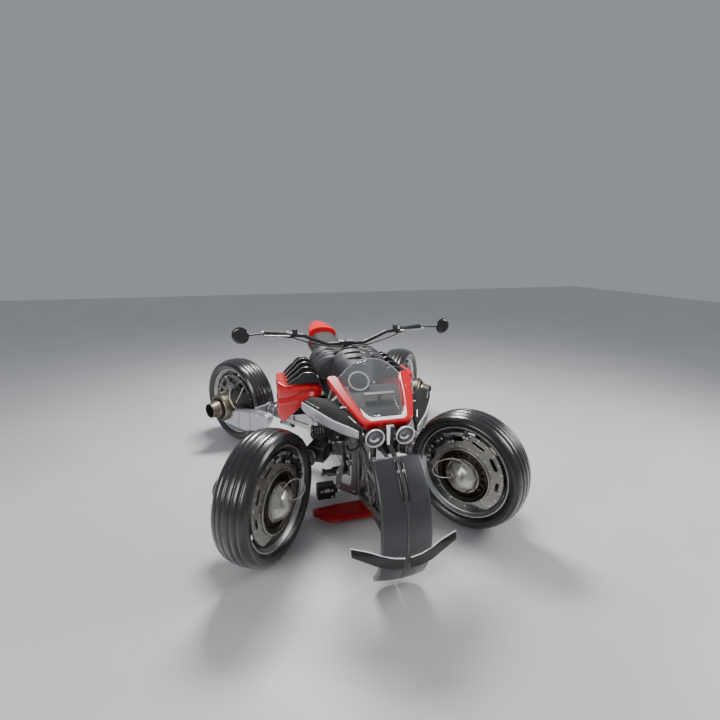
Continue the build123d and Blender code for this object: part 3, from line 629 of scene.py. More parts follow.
cone = {
    "facets": 9, "firstFacet": 12,
    "rows": [(-0.029, 0.0925), (-0.056, 0.0925), (-0.074, 0.0890), (-0.100, 0.069), (-0.118, 0.041),
             (-0.1255, 0.012)],     # along, radius
    "collar": [(-0.029, 0.080), (-0.029, 0.0930), (-0.060, 0.0930), (-0.066, 0.0915), (-0.066, 0.080)],
}


def makeCones():
    # faceted dome of the intake
    rings = [ringPlaces(cone["facets"], radius, along, cone["firstFacet"]) for along, radius in cone["rows"]]
    atTurbine("intakeCone", skin(rings), "dome", bevel=0.0022)
    atTurbine("coneCollar", lathe(cone["collar"], 72), "dome", smooth=40)


vanes = {"count": 18, "size": (0.016, 0.0022, 0.022), "place": (-0.036, 0.0, 0.1025), "twist": 28}


def makeIntakeRings():
    h = hub
    # the bell: from the floor out over the lip and back to the can
    bell = bow((h["floor"], h["throat"]), (h["face"], h["lip"]), -0.009, 10)
    bell += bow((h["face"], h["lip"]), (h["face"] + 0.004, h["ring"]), 0.0024, 5)
    bell += [(h["face"] + 0.004, h["ring"]), (-0.026, h["ring"]), (-0.0205, h["ring"] - 0.002),
             (-0.0205, h["canRadius"]), (0.012, h["canRadius"]), (0.012, 0.092), (-0.024, 0.092),
             (-0.024, h["throat"])]
    atTurbine("intakeBell", lathe(bell, 96), "bell", replaces="turbine", smooth=40)
    # painted shade: a dark brown liner low in the bell and on its floor stands for the shade in the gap round
    # the dome; the guide vanes there share its finish
    liner = bow((h["floor"] - 0.001, h["throat"] - 0.0006), (-0.058, h["throat"] + 0.0112), -0.0065, 8)
    liner += [(-0.058, h["throat"] + 0.0112), (-0.056, h["throat"] + 0.016),
              (h["floor"] + 0.002, h["throat"] + 0.003), (h["floor"] + 0.002, 0.060),
              (h["floor"] - 0.001, 0.060)]
    parts = [lathe(liner, 96)]
    for i in range(vanes["count"]):
        vane = block(vanes["size"], vanes["place"], (0, 0, vanes["twist"]))
        parts.append(moved(vane, rotation(360 * i / vanes["count"], "X")))
    atTurbine("intakeShadeLiner", parts, "duct", smooth=30)


can = {"grooves": (0.120, 0.166), "inner": 0.080, "front": 0.013}


def makeCans():
    end, r, root = hub["canEnd"], hub["canRadius"], hub["nozzleRoot"]
    outline = [(can["front"], can["inner"]), (can["front"], r), (0.118, r)]
    for along in can["grooves"]:
        outline += [(along, r - 0.0006), (along + 0.001, r - 0.003), (along + 0.003, r - 0.003),
                    (along + 0.004, r - 0.0006)]
    outline += bow((end - 0.022, r), (end, r - 0.012), 0.003, 6)
    outline += [(end, r - 0.012), (end - 0.002, r - 0.016), (end - 0.016, r - 0.018),
                (end - 0.020, root + 0.002), (end - 0.020, 0.050)]
    atTurbine("turbineCan", lathe(outline, 80), "khaki", smooth=30)
    # a dark matt ring fills the open gap in the can's end round the nozzle: painted shade
    gap = [(end - 0.0192, r - 0.019), (end - 0.012, r - 0.0175), (end - 0.013, root + 0.003),
           (end - 0.0192, root + 0.001)]
    atTurbine("canGapShade", lathe(gap, 80), "matt", smooth=40)


def makeNozzles():
    start, end, root, mouth, wall = (hub[key] for key in ("canEnd", "nozzleEnd", "nozzleRoot", "nozzleMouth",
                                                          "nozzleWall"))
    outline = [(start - 0.018, root), (start + 0.014, root), (start + 0.016, root + 0.0025),
               (start + 0.022, root + 0.0025), (start + 0.024, root - 0.001), (end - 0.009, mouth + 0.0003),
               (end - 0.007, mouth + 0.0016), (end - 0.001, mouth - 0.0002), (end - 0.001, mouth - wall),
               (start + 0.026, root - 2 * wall), (start + 0.006, 0.050)]
    outline += bow((start + 0.006, 0.030), (start + 0.046, 0.003), -0.005, 8)
    outline += [(start + 0.048, 0.0), (start - 0.018, 0.0)]
    atTurbine("nozzle", lathe(outline, 80, closed=False), "khaki", smooth=30)
    # matt black lining inside the nozzle, darker than its khaki wall
    innerBlack = [(start + 0.0075, 0.030), (start + 0.0075, 0.0515), (end - 0.010, mouth - wall - 0.0006),
            (end - 0.010, mouth - wall - 0.0002), (start + 0.0065, 0.053), (start + 0.0065, 0.030)]
    atTurbine("nozzleInnerBlack", lathe(innerBlack, 64), "matt", smooth=40)


clamp = {"along": 0.178, "radius": 0.0982, "width": 0.010, "lug": (0.009, 0.004, 0.012), "lugOut": 0.006,
         "lugRise": 0.007, "screwHalf": 0.013, "screwRise": 0.008}


def makeClamps():
    along, radius, half = clamp["along"], clamp["radius"], clamp["width"] / 2
    band = [(along - half, radius), (along - half, radius + 0.0018), (along - half * 0.5, radius + 0.0028),
            (along + half * 0.5, radius + 0.0028), (along + half, radius + 0.0018), (along + half, radius)]
    parts = [lathe(band, 72)]
    for side in (-1, 1):
        parts.append(block(clamp["lug"], (along, side * clamp["lugOut"], radius + clamp["lugRise"])))
    ends = [(along, side * clamp["screwHalf"], radius + clamp["screwRise"]) for side in (-1, 1)]
    parts += [rod(*ends, 0.0024, 12), bolts(ends[1:], (0, 1, 0), "band")]
    atTurbine("bandClamps", parts, "khaki", slot="machined_alloy", bevel=0.0006)


hubPlate = {
    # angle, radius, length and width of each slot
    "slots": [(14, 0.182, 0.054, 0.024), (43, 0.181, 0.066, 0.022), (77, 0.180, 0.070, 0.026),
              (114, 0.180, 0.070, 0.018), (150, 0.182, 0.070, 0.020), (187, 0.184, 0.050, 0.018)],
    "slotGap": 0.0012, "slotEdge": 0.0016, "sunk": 0.0015,
    "boltCircle": 0.206, "ringCircle": 0.1575, "lipCircle": 0.1455,
    # angle, radius, length and depth of the dark blocks by the arm
    "blocks": [(8, 0.196, 0.050, 0.020), (27, 0.200, 0.044, 0.026), (48, 0.199, 0.046, 0.018),
               (66, 0.170, 0.034, 0.016), (92, 0.196, 0.030, 0.012)],
    "blockHeight": 0.024, "headsAt": 0.3,
    # points and radius of the hoses between the blocks
    "hoses": [([(-0.066, 0.196, 0.030), (-0.092, 0.176, 0.072), (-0.090, 0.140, 0.112),
                (-0.066, 0.126, 0.150)],
               0.0062),
              ([(-0.064, 0.060, 0.186), (-0.086, 0.092, 0.166), (-0.084, 0.128, 0.126),
                (-0.064, 0.148, 0.100)],
               0.0048)],
    "wire": [(-0.098, -0.040, 0.062), (-0.112, -0.020, 0.082), (-0.122, 0.010, 0.094), (-0.124, 0.058, 0.082),
             (-0.124, 0.118, 0.044), (-0.124, 0.148, -0.010), (-0.124, 0.128, -0.038),
             (-0.124, 0.080, -0.036), (-0.118, 0.036, -0.020)],
}


def slotRim(angle, radius, length, width):
    place = (hub["plateFace"] - hubPlate["sunk"], *polar(angle, radius))
    turn = Matrix.Translation(place) @ rotation(angle + 90, "X")
    straight, half = (length - width) / 2, width / 2 + hubPlate["slotGap"]
    loop = []
    for k in range(25):
        y, z = polar(15 * k, half)
        loop.append((0, y + (straight if math.cos(math.tau * k / 24) > 0 else -straight), z))
    return moved(pipe(loop, hubPlate["slotEdge"]), turn)


def makeHubTrim():
    # the ground side and the arm's side stay bare
    plate = [p for p in ringPlaces(26, hubPlate["boltCircle"], hub["plateFace"])
             if p[2] > -0.150 and not (p[1] > 0.02 and p[2] < 0.02)]
    ring = [p for p in ringPlaces(20, hubPlate["ringCircle"], hub["plateFace"], 9) if p[2] > -0.120]
    lip = ringPlaces(14, hubPlate["lipCircle"], hub["face"] + 0.0015, 200, 140)
    heads = [bolts(plate, (-1, 0, 0), "hubPlate")]
    for places, kind in ((ring, "hubRing"), (lip, "hubLip")):
        heads.append(bolts([(x, y, z - hub["drop"]) for x, y, z in places], (-1, 0, 0), kind))
    atCorners("hubBolts", heads, "bright", bevel=0.0005)
    atCorners("slotRims", [slotRim(*slot) for slot in hubPlate["slots"]], "bell", slot="machined_alloy")


def makeHubClips():
    parts = []
    heads = []
    for angle, radius, length, deep in hubPlate["blocks"]:
        y, z = polar(angle, radius)
        parts.append(block((deep, length, hubPlate["blockHeight"]), (hub["plateFace"] - deep / 2, y, z),
                           (angle + 90, 0, 0)))
        for side in (-1, 1):
            shift = polar(angle + 90, side * hubPlate["headsAt"] * length)
            heads.append(bolts([(hub["plateFace"] - deep, y + shift[0], z + shift[1])], (-1, 0, 0),
                               "hubBlock"))
    parts += [pipe(points, radius, 4) for points, radius in hubPlate["hoses"]]
    atCorners("hubClips", parts, "matt", bevel=0.0018)
    atCorners("hubClipHeads", heads, "bright", bevel=0.0006)
    atCorners("hubWire", pipe(hubPlate["wire"], 0.0026, 4), "cream")


# count, radius, x and first angle of each ring of bolts, the side they look to, and their heads
rimBolts = [((16, 0.221, -0.009), -1, "rim"), ((12, 0.1305, -0.014, 22.5), -1, "rimHub"),
            ((16, 0.221, 0.009), 1, "rim")]


def makeRimTrim():
    lip, radius = hub["rimLip"], hub["rimRadius"]
    edge = [(lip - 0.006, radius - 0.004), (lip - 0.001, radius - 0.0045), (lip + 0.0004, radius - 0.002),
            (lip + 0.0004, radius + 0.0001), (lip - 0.006, radius + 0.0001)]
    ledge = [(0.040, 0.2292), (0.042, 0.2262), (0.050, 0.2262), (0.053, 0.2302)]        # inside the barrel
    parts = []
    for side in (-1, 1):
        parts += [lathe([(side * along, r) for along, r in outline], 128) for outline in (edge, ledge)]
    parts += [bolts(ringPlaces(*ring), (side, 0, 0), kind) for ring, side, kind in rimBolts]
    atCorners("rimLips", parts, "bright", "wheel", smooth=30)


def shaded(name, corner, rules):
    # faces between two x and within a reach of the axis take the finish of the first rule that fits
    node = frame["nodes"][name + "_" + corner]
    back = cornerMatrices[corner].inverted() @ node.matrix_world
    for rule in rules:
        node.data.materials.append(finishes[rule[0]])
    for polygon in node.data.polygons:
        place = back @ polygon.center
        for i, (_, low, high, reach) in enumerate(rules):
            if low < place.x < high and math.hypot(place.y, place.z) < reach:
                polygon.material_index = i + 1
                break


def shadeWheelInsides():
    # painted shade: the web and hub ring deep in the wheel, and the flange behind it, take a darker copy of
    # the alloy
    for corner in cornerNames:
        shaded("rim", corner, [("wheelShadeAlloy", -0.017, 0.017, 0.2275)])
        shaded("carrier", corner, [("wheelShadeAlloy", -1, 0.0575, 0.206), ("bell", -1, 0.1265, 0.112)])


pod = {
    "pipe": [(0.085, 0.010, 0.124), (0.104, 0.030, 0.112), (0.135, 0.050, 0.078), (0.155, 0.083, 0.048),
             (0.146, 0.110, 0.004), (0.118, 0.112, -0.036), (0.098, 0.110, -0.060)],
    "struts": [((0.060, -0.072, 0.178), (0.088, 0.004, 0.094), 0.0075),
               ((0.060, 0.120, 0.120), (0.112, 0.100, 0.020), 0.006)],
    "knuckles": [(0.060, -0.072, 0.178), (0.088, 0.004, 0.094), (0.060, 0.120, 0.120)],
    "edge": [(0.150, 0.104, -0.026), (0.1525, 0.150, -0.010), (0.1525, 0.200, 0.000), (0.1525, 0.360, 0.0235),
             (0.150, 0.468, 0.0245)],
    # y and z on the casing's outer face
    "face": 0.160,
    "bolts": [(0.130, -0.036), (0.130, -0.128), (0.258, -0.012), (0.250, -0.130), (0.390, 0.004),
              (0.392, -0.088), (0.474, -0.006)],
    "seams": [[(0.310, 0.012), (0.318, -0.050), (0.300, -0.128)],
              [(0.180, -0.004), (0.186, -0.070), (0.176, -0.146)]],
    "flange": 0.056, "flangeCircle": 0.196,
}


def makePodTrim():
    atCorners("podPipe", pipe(pod["pipe"], 0.0066, 4), "cream")
    struts = [rod(*strut) for strut in pod["struts"]]
    struts += [ball(place, 0.0125, 16, 10) for place in pod["knuckles"]]
    atCorners("podStruts", struts, "steel", smooth=40)
    # pale edge along the casing, its bolts and seams
    atCorners("casingEdge", pipe(pod["edge"], 0.0026), "bright", slot="silver_band")
    places = [(pod["face"], y, z) for y, z in pod["bolts"]]
    atCorners("casingBolts", bolts(places, (1, 0, 0), "casing"), "bright", bevel=0.0005)
    seams = [pipe([(pod["face"] + 0.0002, y, z) for y, z in seam], 0.0012) for seam in pod["seams"]]
    atCorners("casingSeams", seams, "matt")
    drum = [p for p in ringPlaces(24, pod["flangeCircle"], pod["flange"]) if p[2] > -0.105]
    atCorners("flangeBolts", bolts(drum, (1, 0, 0), "band"), "bright", bevel=0.0005)


arm = {
    "seal": (0.3525, 0.3595), "sealRadius": 0.044, "collars": (0.364, 0.418), "collarRadius": 0.0445,
    "flangeAt": 0.3555, "flangeCircle": 0.0335,
    "ribs": 8, "rib": (0.005, 0.0045, 0.074), "ribFrom": (-0.0718, 0.464, 0), "ribPitch": 0.0104,
    "cap": [(-0.0705, 0.0), (-0.0705, 0.030), (-0.0745, 0.030), (-0.0755, 0.026), (-0.0755, 0.0)],
    "capAt": 0.520,
    # points and radius of the hoses clipped along the top
    "hoses": [([(-0.050, 0.470, 0.045), (-0.034, 0.440, 0.066), (0.000, 0.410, 0.058), (0.022, 0.376, 0.048)],
               0.0065),
              ([(0.010, 0.430, 0.046), (0.012, 0.480, 0.050), (0.006, 0.540, 0.052), (0.010, 0.600, 0.056)],
               0.0055)],
    "damper": (0.010, -0.0655), "damperFrom": 0.470, "damperTo": 0.594, "coils": 9, "coilRadius": 0.0135,
    "coilFrom": 0.480, "coilLength": 0.104,
}


def alongArm(outline):
    # spins a (place along the arm, radius) outline round the arm's own line
    return moved(lathe(outline, 48), rotation(90, "Z"))


def makeArmTrim():
    # dark boot at the tilt pivot, bright collars, bolts and the drive's housing
    start, end = arm["seal"]
    radius = arm["sealRadius"]
    boot = [(start, 0.034)] + bow((start, radius), (end, radius), -0.0045, 5) + [(end, radius), (end, 0.034)]
    atCorners("pivotSeal", alongArm(boot), "grip", smooth=50)
    radius = arm["collarRadius"]
    collars = []
    for place in arm["collars"]:
        collars.append(alongArm([(place - 0.005, radius - 0.003), (place - 0.005, radius),
                                 (place - 0.003, radius + 0.0015), (place + 0.003, radius + 0.0015),
                                 (place + 0.005, radius), (place + 0.005, radius - 0.003)]))
    places = [(y, arm["flangeAt"], z) for _, y, z in ringPlaces(8, arm["flangeCircle"], 0, 22.5)]
    atCorners("pivotCollars", collars + [bolts(places, (0, -1, 0), "pivot")], "bright", "arm", bevel=0.0006)
    x, y, z = arm["ribFrom"]
    drive = [block(arm["rib"], (x, y + arm["ribPitch"] * i, z)) for i in range(arm["ribs"])]
    drive.append(moved(lathe(arm["cap"], 40, closed=False), Matrix.Translation((0, arm["capAt"], 0))))
    atCorners("driveRibs", drive, "matt", "arm", bevel=0.001)
    heads = [bolts([(-0.0712, y, z) for y in (0.458, 0.542) for z in (-0.038, 0.038)], (-1, 0, 0), "band"),
             bolts([(0.0252, y, z) for y in (0.452, 0.548) for z in (-0.030, 0.030)], (1, 0, 0), "band")]
    atCorners("driveBolts", heads, "bright", "arm", bevel=0.0005)
    atCorners("armHoses", [pipe(points, radius, 4) for points, radius in arm["hoses"]], "matt", "arm")
    # spring and damper below
    x, z = arm["damper"]
    spring = []
    count = 12 * arm["coils"]
    for i in range(count + 1):
        across, rise = polar(30 * i, arm["coilRadius"])
        spring.append((x + across, arm["coilFrom"] + arm["coilLength"] * i / count, z + rise))
    atCorners("armSpring", pipe(spring, 0.0028), "bright", "arm")
    damper = [rod((x, arm["damperFrom"], z), (x, arm["damperTo"], z), 0.0075)]
    for y in (arm["damperFrom"] + 0.005, arm["damperTo"] - 0.005):
        damper += [rod((x, y - 0.004, z), (x, y + 0.004, z), 0.0165),
                   block((0.014, 0.012, 0.030), (x, y, -0.052))]
    atCorners("armDamper", damper, "satin", "arm", bevel=0.001)


# The machine's own frame: y is measured from a line 0.756 m behind the front wheels

middleY = cornerMatrices["front_left"].translation.y + 0.756


def at(x, y, z):
    return Vector((x, y + middleY, z))


def route(points, radius, sides=2):
    return pipe([at(*point) for point in points], radius, sides)


# Front fender, its keel and fins

fender = {
    "y": -0.889, "z": 0.310, "radius": 0.3525, "inner": 0.0046, "outer": 0.1045, "edgeAt": 0.86,
    "edgeDrop": 0.017, "crown": 0.008, "low": -55.0, "high": 57.0, "rounding": 9.0, "wall": 0.006,
    # dark strip beside the slot, standing for a recess there (painted shade): angle and its span, radius,
    # from x, width
    "strip": (26, 28, 0.3562, 0.0052, 0.0125), "boltAt": (46, 0.3575, 0.0115),
    # name, finish, slot, first angle and its span, lift and radius of the keel's edges in the slot
    # the keel's edge takes the self-lit finish: a painted highlight along the bottom of the slot
    "edges": [("keelEdge", "paintedLight", "machined_alloy", -42, 44, 0.0010, 0.0026),
              ("keelCover", "satin", "black_coat", 2, 54, -0.0008, 0.0034)],
}


def onNose(angle, radius, x):
    along, rise = polar(angle, radius)
    return at(x, fender["y"] - along, fender["z"] + rise)


def fenderShape(u, v):
    f = fender
    top = min(u / f["edgeAt"], 1.0)
    fold = max(0.0, (u - f["edgeAt"]) / (1 - f["edgeAt"]))
    x = f["inner"] + (f["outer"] - f["inner"]) * (top * 0.975 + 0.025 * math.sin(fold * math.pi / 2))
    radius = f["radius"] - f["crown"] * top ** 2 - f["edgeDrop"] * (1 - math.cos(fold * math.pi / 2))
    low = f["low"] + f["rounding"] * u ** 4
    return onNose(low + (f["high"] - low) * v, radius, x)


def makeFender():
    piece("fenderHalves", paired(sheet(22, 72, fenderShape)), "guard", replaces=["front_fender"],
          shell=fender["wall"], smooth=60)
    first, span, radius, x, width = fender["strip"]
    strip = sheet(4, 14, lambda u, v: onNose(first + span * v, radius, x + width * u))
    piece("fenderStrips", paired(strip), "gloss", shell=0.003)
    angle = fender["boltAt"][0]
    heads = bolts([onNose(*fender["boltAt"])], onNose(angle, 1.0, 0) - onNose(angle, 0.5, 0), "fender")
    piece("fenderBolts", paired(heads), "bright", bevel=0.0006)
    for name, finish, slot, first, span, lift, thick in fender["edges"]:
        line = [onNose(first + span * i / 8, fender["radius"] + lift, 0.0) for i in range(9)]
        piece(name, pipe(line, thick), finish, slot=slot)


finRows = [
    # share of the length, x, y, z, half height, lean back of the upper edge
    (0.00, 0.012, -1.2414, 0.216, 0.024, 0.000),
    (0.25, 0.060, -1.2406, 0.222, 0.026, 0.001),
    (0.50, 0.108, -1.2355, 0.236, 0.026, 0.005),
    (0.75, 0.156, -1.2235, 0.254, 0.023, 0.010),
    (1.00, 0.226, -1.2110, 0.280, 0.015, 0.012),
]


def finShape(u, v):
    _, x, y, z, half, lean = mixed(finRows, u)
    return at(x, y + lean * v * v, z + half * (2 * v - 1))


def makeFenderFins():
    piece("finBlades", paired(sheet(24, 8, finShape)), "gloss", replaces=["fender_fins"], shell=0.006,
          soften=1)
    # self-lit lines along the fins' top edges: painted highlight
    top = [finShape(i / 8, 1.0) + Vector((0, 0, 0.002)) for i in range(9)]
    piece("finEdges", paired(pipe(top, 0.0024)), "paintedLight")


# Nose: cowl, screen, lamps and winglets

nose = {
    "y": -0.978, "z": 0.716, "rise": 21.0, "length": 0.345, "depth": 0.052,
    "lip": [(-0.103, 0.104), (-0.099, 0.052), (-0.076, 0.016), (0.076, 0.016), (0.099, 0.052), (0.103, 0.104),
            (0.089, 0.066), (0.069, 0.037), (-0.069, 0.037), (-0.089, 0.066)],
}


def noseMatrix():
    turn = math.radians(nose["rise"])
    matrix = Matrix(((1, 0, 0), (0, math.cos(turn), math.sin(turn)), (0, -math.sin(turn), math.cos(turn))))
    matrix = matrix.transposed().to_4x4()
    matrix.translation = at(0, nose["y"], nose["z"])
    return matrix


def onCowl(bm, lift=0.0):
    # from the cowl's own plane: x, along its slope, out of it
    return moved(bm, noseMatrix() @ Matrix.Translation((0, 0, lift)))


def makeCowl():
    length = nose["length"]
    # right half of the U, from the nose round the outside, over the end and back along the inside
    half = [(0.080, 0.0)] + bow((0.100, 0.004), (0.128, 0.040), -0.005, 3)
    half += bow((0.128, 0.040), (0.212, length - 0.010), -0.006, 6)
    half += [(0.212, length - 0.010), (0.206, length + 0.008), (0.170, length + 0.016),
             (0.158, length + 0.004)]
    half += bow((0.152, length - 0.010), (0.090, 0.048), 0.004, 5)
    half += bow((0.090, 0.048), (0.068, 0.026), 0.006, 3)
    half += [(0.068, 0.026)]
    bm = prism(half + [(-x, y) for x, y in reversed(half)], -nose["depth"])
    for vert in bm.verts:
        if vert.co.z < -0.001:          # drawn in below
            vert.co.x *= 0.93
            vert.co.y = 0.012 + vert.co.y * 0.96
    piece("cowlShell", onCowl(bm), "red", replaces=["cowl"], bevel=0.010)
    # the white lip inside the cowl is self-lit so it reads bright: a white part with painted light
    piece("screenLip", onCowl(prism(nose["lip"], 0.006), -0.004), "paintedLight", bevel=0.0022)


screen = {"low": 0.040, "high": 0.362, "lowHalf": 0.078, "highHalf": 0.156, "lowRise": 0.010,
          "highRise": 0.084, "sweep": 0.030, "sunk": 0.004}


def screenShape(u, v):
    s = screen
    across = 2 * u - 1
    along = s["low"] + (s["high"] - s["low"]) * v - s["sweep"] * v * across * across
    half = s["lowHalf"] + (s["highHalf"] - s["lowHalf"]) * v ** 0.9
    rise = s["lowRise"] + (s["highRise"] - s["lowRise"]) * math.sin(v * math.pi / 2) ** 0.9
    return noseMatrix() @ Vector((half * across, along, rise * (1 - abs(across) ** 2.2) - s["sunk"]))


def makeScreen():
    piece("screenBubble", sheet(24, 20, screenShape), "screen", replaces=["windscreen"], shell=0.003)
    piece("screenRim", pipe([screenShape(i / 16, 1.0) for i in range(17)], 0.0022), "screenEdge")


dial = {"x": -0.050, "y": -0.656, "z": 0.806, "radius": 0.0510, "tilt": 46.0}
tray = {"outline": [(-0.094, 0.026), (0.094, 0.026), (0.172, 0.327), (-0.172, 0.327)], "depth": 0.0095,
        "post": (0.024, -0.758, 0.738), "postHeight": 0.028, "bar": (0.149, 0.022, 0.010), "barLean": 12}


def makeInstruments():
    x, y, z = tray["post"]
    base = onCowl(prism(tray["outline"], -tray["depth"]), -nose["depth"] - 0.0002)
    posts = [rod(at(x, y, z), at(x, y, z + tray["postHeight"]), 0.0075),
             rod(at(dial["x"], dial["y"] - 0.02, 0.73), at(dial["x"], dial["y"], dial["z"] - 0.010), 0.012)]
    piece("instrumentTray", [base] + posts, "matt", replaces=["instruments"], bevel=0.002)
    here = Matrix.Translation(at(dial["x"], dial["y"], dial["z"]))
    here = here @ rotation(dial["tilt"], "X") @ rotation(-90, "Y")
    r = dial["radius"]
    case = [(-0.022, 0), (-0.022, r - 0.010), (-0.004, r), (0.004, r), (0.004, r - 0.004),
            (-0.001, r - 0.006), (-0.001, 0)]
    piece("dialCase", moved(lathe(case, 48, closed=False), here), "dialFace", smooth=30)
    # the dial's pale ring is self-lit: a light grey part with painted light
    ring = [(0.002, r - 0.006), (0.006, r - 0.005), (0.0075, r - 0.001), (0.005, r + 0.002),
            (0.000, r + 0.002)]
    piece("dialRing", moved(lathe(ring, 64), here), "paintedLight", smooth=30)
    bar = block(tray["bar"], at(x, y, z + 0.032), (tray["barLean"], 0, 0))
    piece("instrumentBar", bar, "white", bevel=0.002)


lamp = {
    "half": 0.068, "y": -0.995, "z": 0.657, "radius": 0.043, "aim": -6,
    "inner": [(0.010, 0.0255), (0.003, 0.0260), (0.001, 0.0245), (0.003, 0.0230), (0.012, 0.0230)],
    "arcAt": 0.006, "arcRadius": 0.0195, "arcFrom": 205, "arcSpan": 130, "stripFoot": (0, -0.9965, 0.622),
    # name, finish, thickness and outline of the bright strip and the dark slot between the lamps; the white
    # strip is self-lit so it stays bright though it faces down: painted light
    "strips": [("lampStrip", "paintedLight", 0.006, [(-0.014, 0.0), (-0.003, 0.0), (-0.002, 0.086), (-0.017, 0.086)]),
               ("lampSlot", "matt", 0.004, [(0.001, 0.0), (0.017, 0.0), (0.017, 0.076), (0.001, 0.076)])],
}


def inLamps(make):
    # what make gives, once in each lamp
    parts = []
    for side in (-1, 1):
        here = Matrix.Translation(at(side * lamp["half"], lamp["y"], lamp["z"]))
        parts.append(moved(make(), here @ rotation(90, "Z") @ rotation(lamp["aim"], "Y")))
    return parts


def makeLamps():
    r = lamp["radius"]
    bowl = [(0.058, 0.0), (0.058, 0.022), (0.050, 0.027), (0.008, r - 0.003), (0.001, r - 0.003),
            (0.001, r - 0.008), (0.010, r - 0.010)]
    bowl += bow((0.014, r - 0.012), (0.040, 0.008), 0.006, 8) + [(0.040, 0.008), (0.040, 0.0)]
    ring = [(0.002, r - 0.001), (-0.004, r), (-0.008, r - 0.001), (-0.0095, r - 0.003), (-0.007, r - 0.0055),
            (0.002, r - 0.006)]
    eye = bow((0.018, 0.022), (0.006, 0.0), 0.004, 8) + [(0.006, 0.0), (0.030, 0.0), (0.030, 0.022)]
    lens = bow((-0.004, r - 0.008), (-0.010, 0.0), -0.002, 10) + [(-0.010, 0.0), (-0.008, 0.0)]
    lens += bow((-0.008, 0.0), (-0.002, r - 0.008), 0.002, 10)
    # name, outline, finish, slot, closed, node that it stands for, smoothing angle
    for name, outline, finish, slot, closed, node, smooth in (
            ("lampBowls", bowl, "gloss", None, False, ["headlamps"], 30),
            ("lampRings", ring, "white", None, True, [], 50),
            ("lampInnerRings", lamp["inner"], "eye", None, True, [], 50),
            ("lampEyes", eye, "eye", "lens", False, [], 50),
            ("lampGlasses", lens, "lens", None, True, ["headlamp_lenses"], 50)):
        piece(name, inLamps(lambda: lathe(outline, 64, closed)), finish, slot=slot, replaces=node,
              smooth=smooth)
    # a self-lit arc inside each lamp: a painted reflection in its bowl
    arc = [(lamp["arcAt"], *polar(lamp["arcFrom"] + lamp["arcSpan"] * i / 8, lamp["arcRadius"]))
           for i in range(9)]
    piece("lampReflectionArcs", inLamps(lambda: pipe(arc, 0.0036)), "paintedLight")
    here = Matrix.Translation(at(*lamp["stripFoot"])) @ rotation(90, "X")
    for name, finish, thick, outline in lamp["strips"]:
        piece(name, moved(prism(outline, thick), here), finish, bevel=0.002)


# nose to tip: y, x of the band's outer face, its low and high z, x and z of the panel's inner top edge
wingRows = [
    (-0.973, 0.139, 0.651, 0.687, 0.125, 0.703),
    (-0.955, 0.156, 0.649, 0.693, 0.128, 0.711),
    (-0.930, 0.177, 0.649, 0.697, 0.132, 0.717),
    (-0.900, 0.198, 0.650, 0.699, 0.141, 0.728),
    (-0.870, 0.218, 0.653, 0.700, 0.150, 0.737),
    (-0.835, 0.241, 0.655, 0.706, 0.162, 0.743),
    (-0.800, 0.262, 0.657, 0.712, 0.174, 0.749),
    (-0.770, 0.280, 0.660, 0.718, 0.187, 0.752),
    (-0.740, 0.297, 0.663, 0.722, 0.200, 0.753),
    (-0.705, 0.313, 0.671, 0.723, 0.230, 0.751),
    (-0.680, 0.323, 0.678, 0.724, 0.256, 0.749),
    (-0.657, 0.333, 0.684, 0.724, 0.281, 0.747),
]
wing = {
    "stays": [((0.205, -0.740, 0.742), (0.152, -0.758, 0.797), 0.0072),
              ((0.180, -0.825, 0.742), (0.128, -0.858, 0.757), 0.0045)],
    "cable": [(0.212, -0.716, 0.752), (0.196, -0.690, 0.786), (0.172, -0.676, 0.806)],
    # bright ridge by the outer corner of each panel
    "ridges": 7, "ridgeFrom": 0.66, "ridgePitch": 0.045, "ridgeLength": 0.032, "ridgeIn": (-0.012, 0, 0.0022),
    # a short bright rod on the band near the nose: painted highlight
    "light": [(0.140, -0.952, 0.7150), (0.150, -0.925, 0.7215), (0.160, -0.900, 0.7275)],
}


def wingRing(y, outer, low, high, topX, topZ):
    face = outer - 0.0085
    points = bow((face, high + 0.001), (topX, topZ), -0.004, 6) + [(topX, topZ), (topX - 0.004, topZ - 0.008)]
    points += [(topX - 0.0045, topZ - 0.018), (max(face - 0.033, topX - 0.001), low + 0.009)]
    points += [(face, low + 0.003)]
    return [at(x, y, z) for x, z in points]


def bandRing(y, outer, low, high, *_):
    face = outer - 0.0075
    points = [(face, low + 0.0015), (face, high), (face + 0.003, high + 0.0002),
              (outer - 0.0015, high - 0.002)]
    points += bow((outer, high - 0.005), (outer, low + 0.006), 0.0006, 3)
    points += [(outer, low + 0.006), (outer - 0.0025, low + 0.0015)]
    return [at(x, y, z) for x, z in points]


def alongWing(share, rise):
    # a point on the edge between band and panel, share of the way from nose to tip
    last = len(wingRows) - 1
    place = share * last
    rows = wingRows[int(place)], wingRows[min(int(place) + 1, last)]
    y, outer, _, high, _, _ = [a + (b - a) * (place - int(place)) for a, b in zip(*rows)]
    return at(outer - 0.006, y, high + rise)


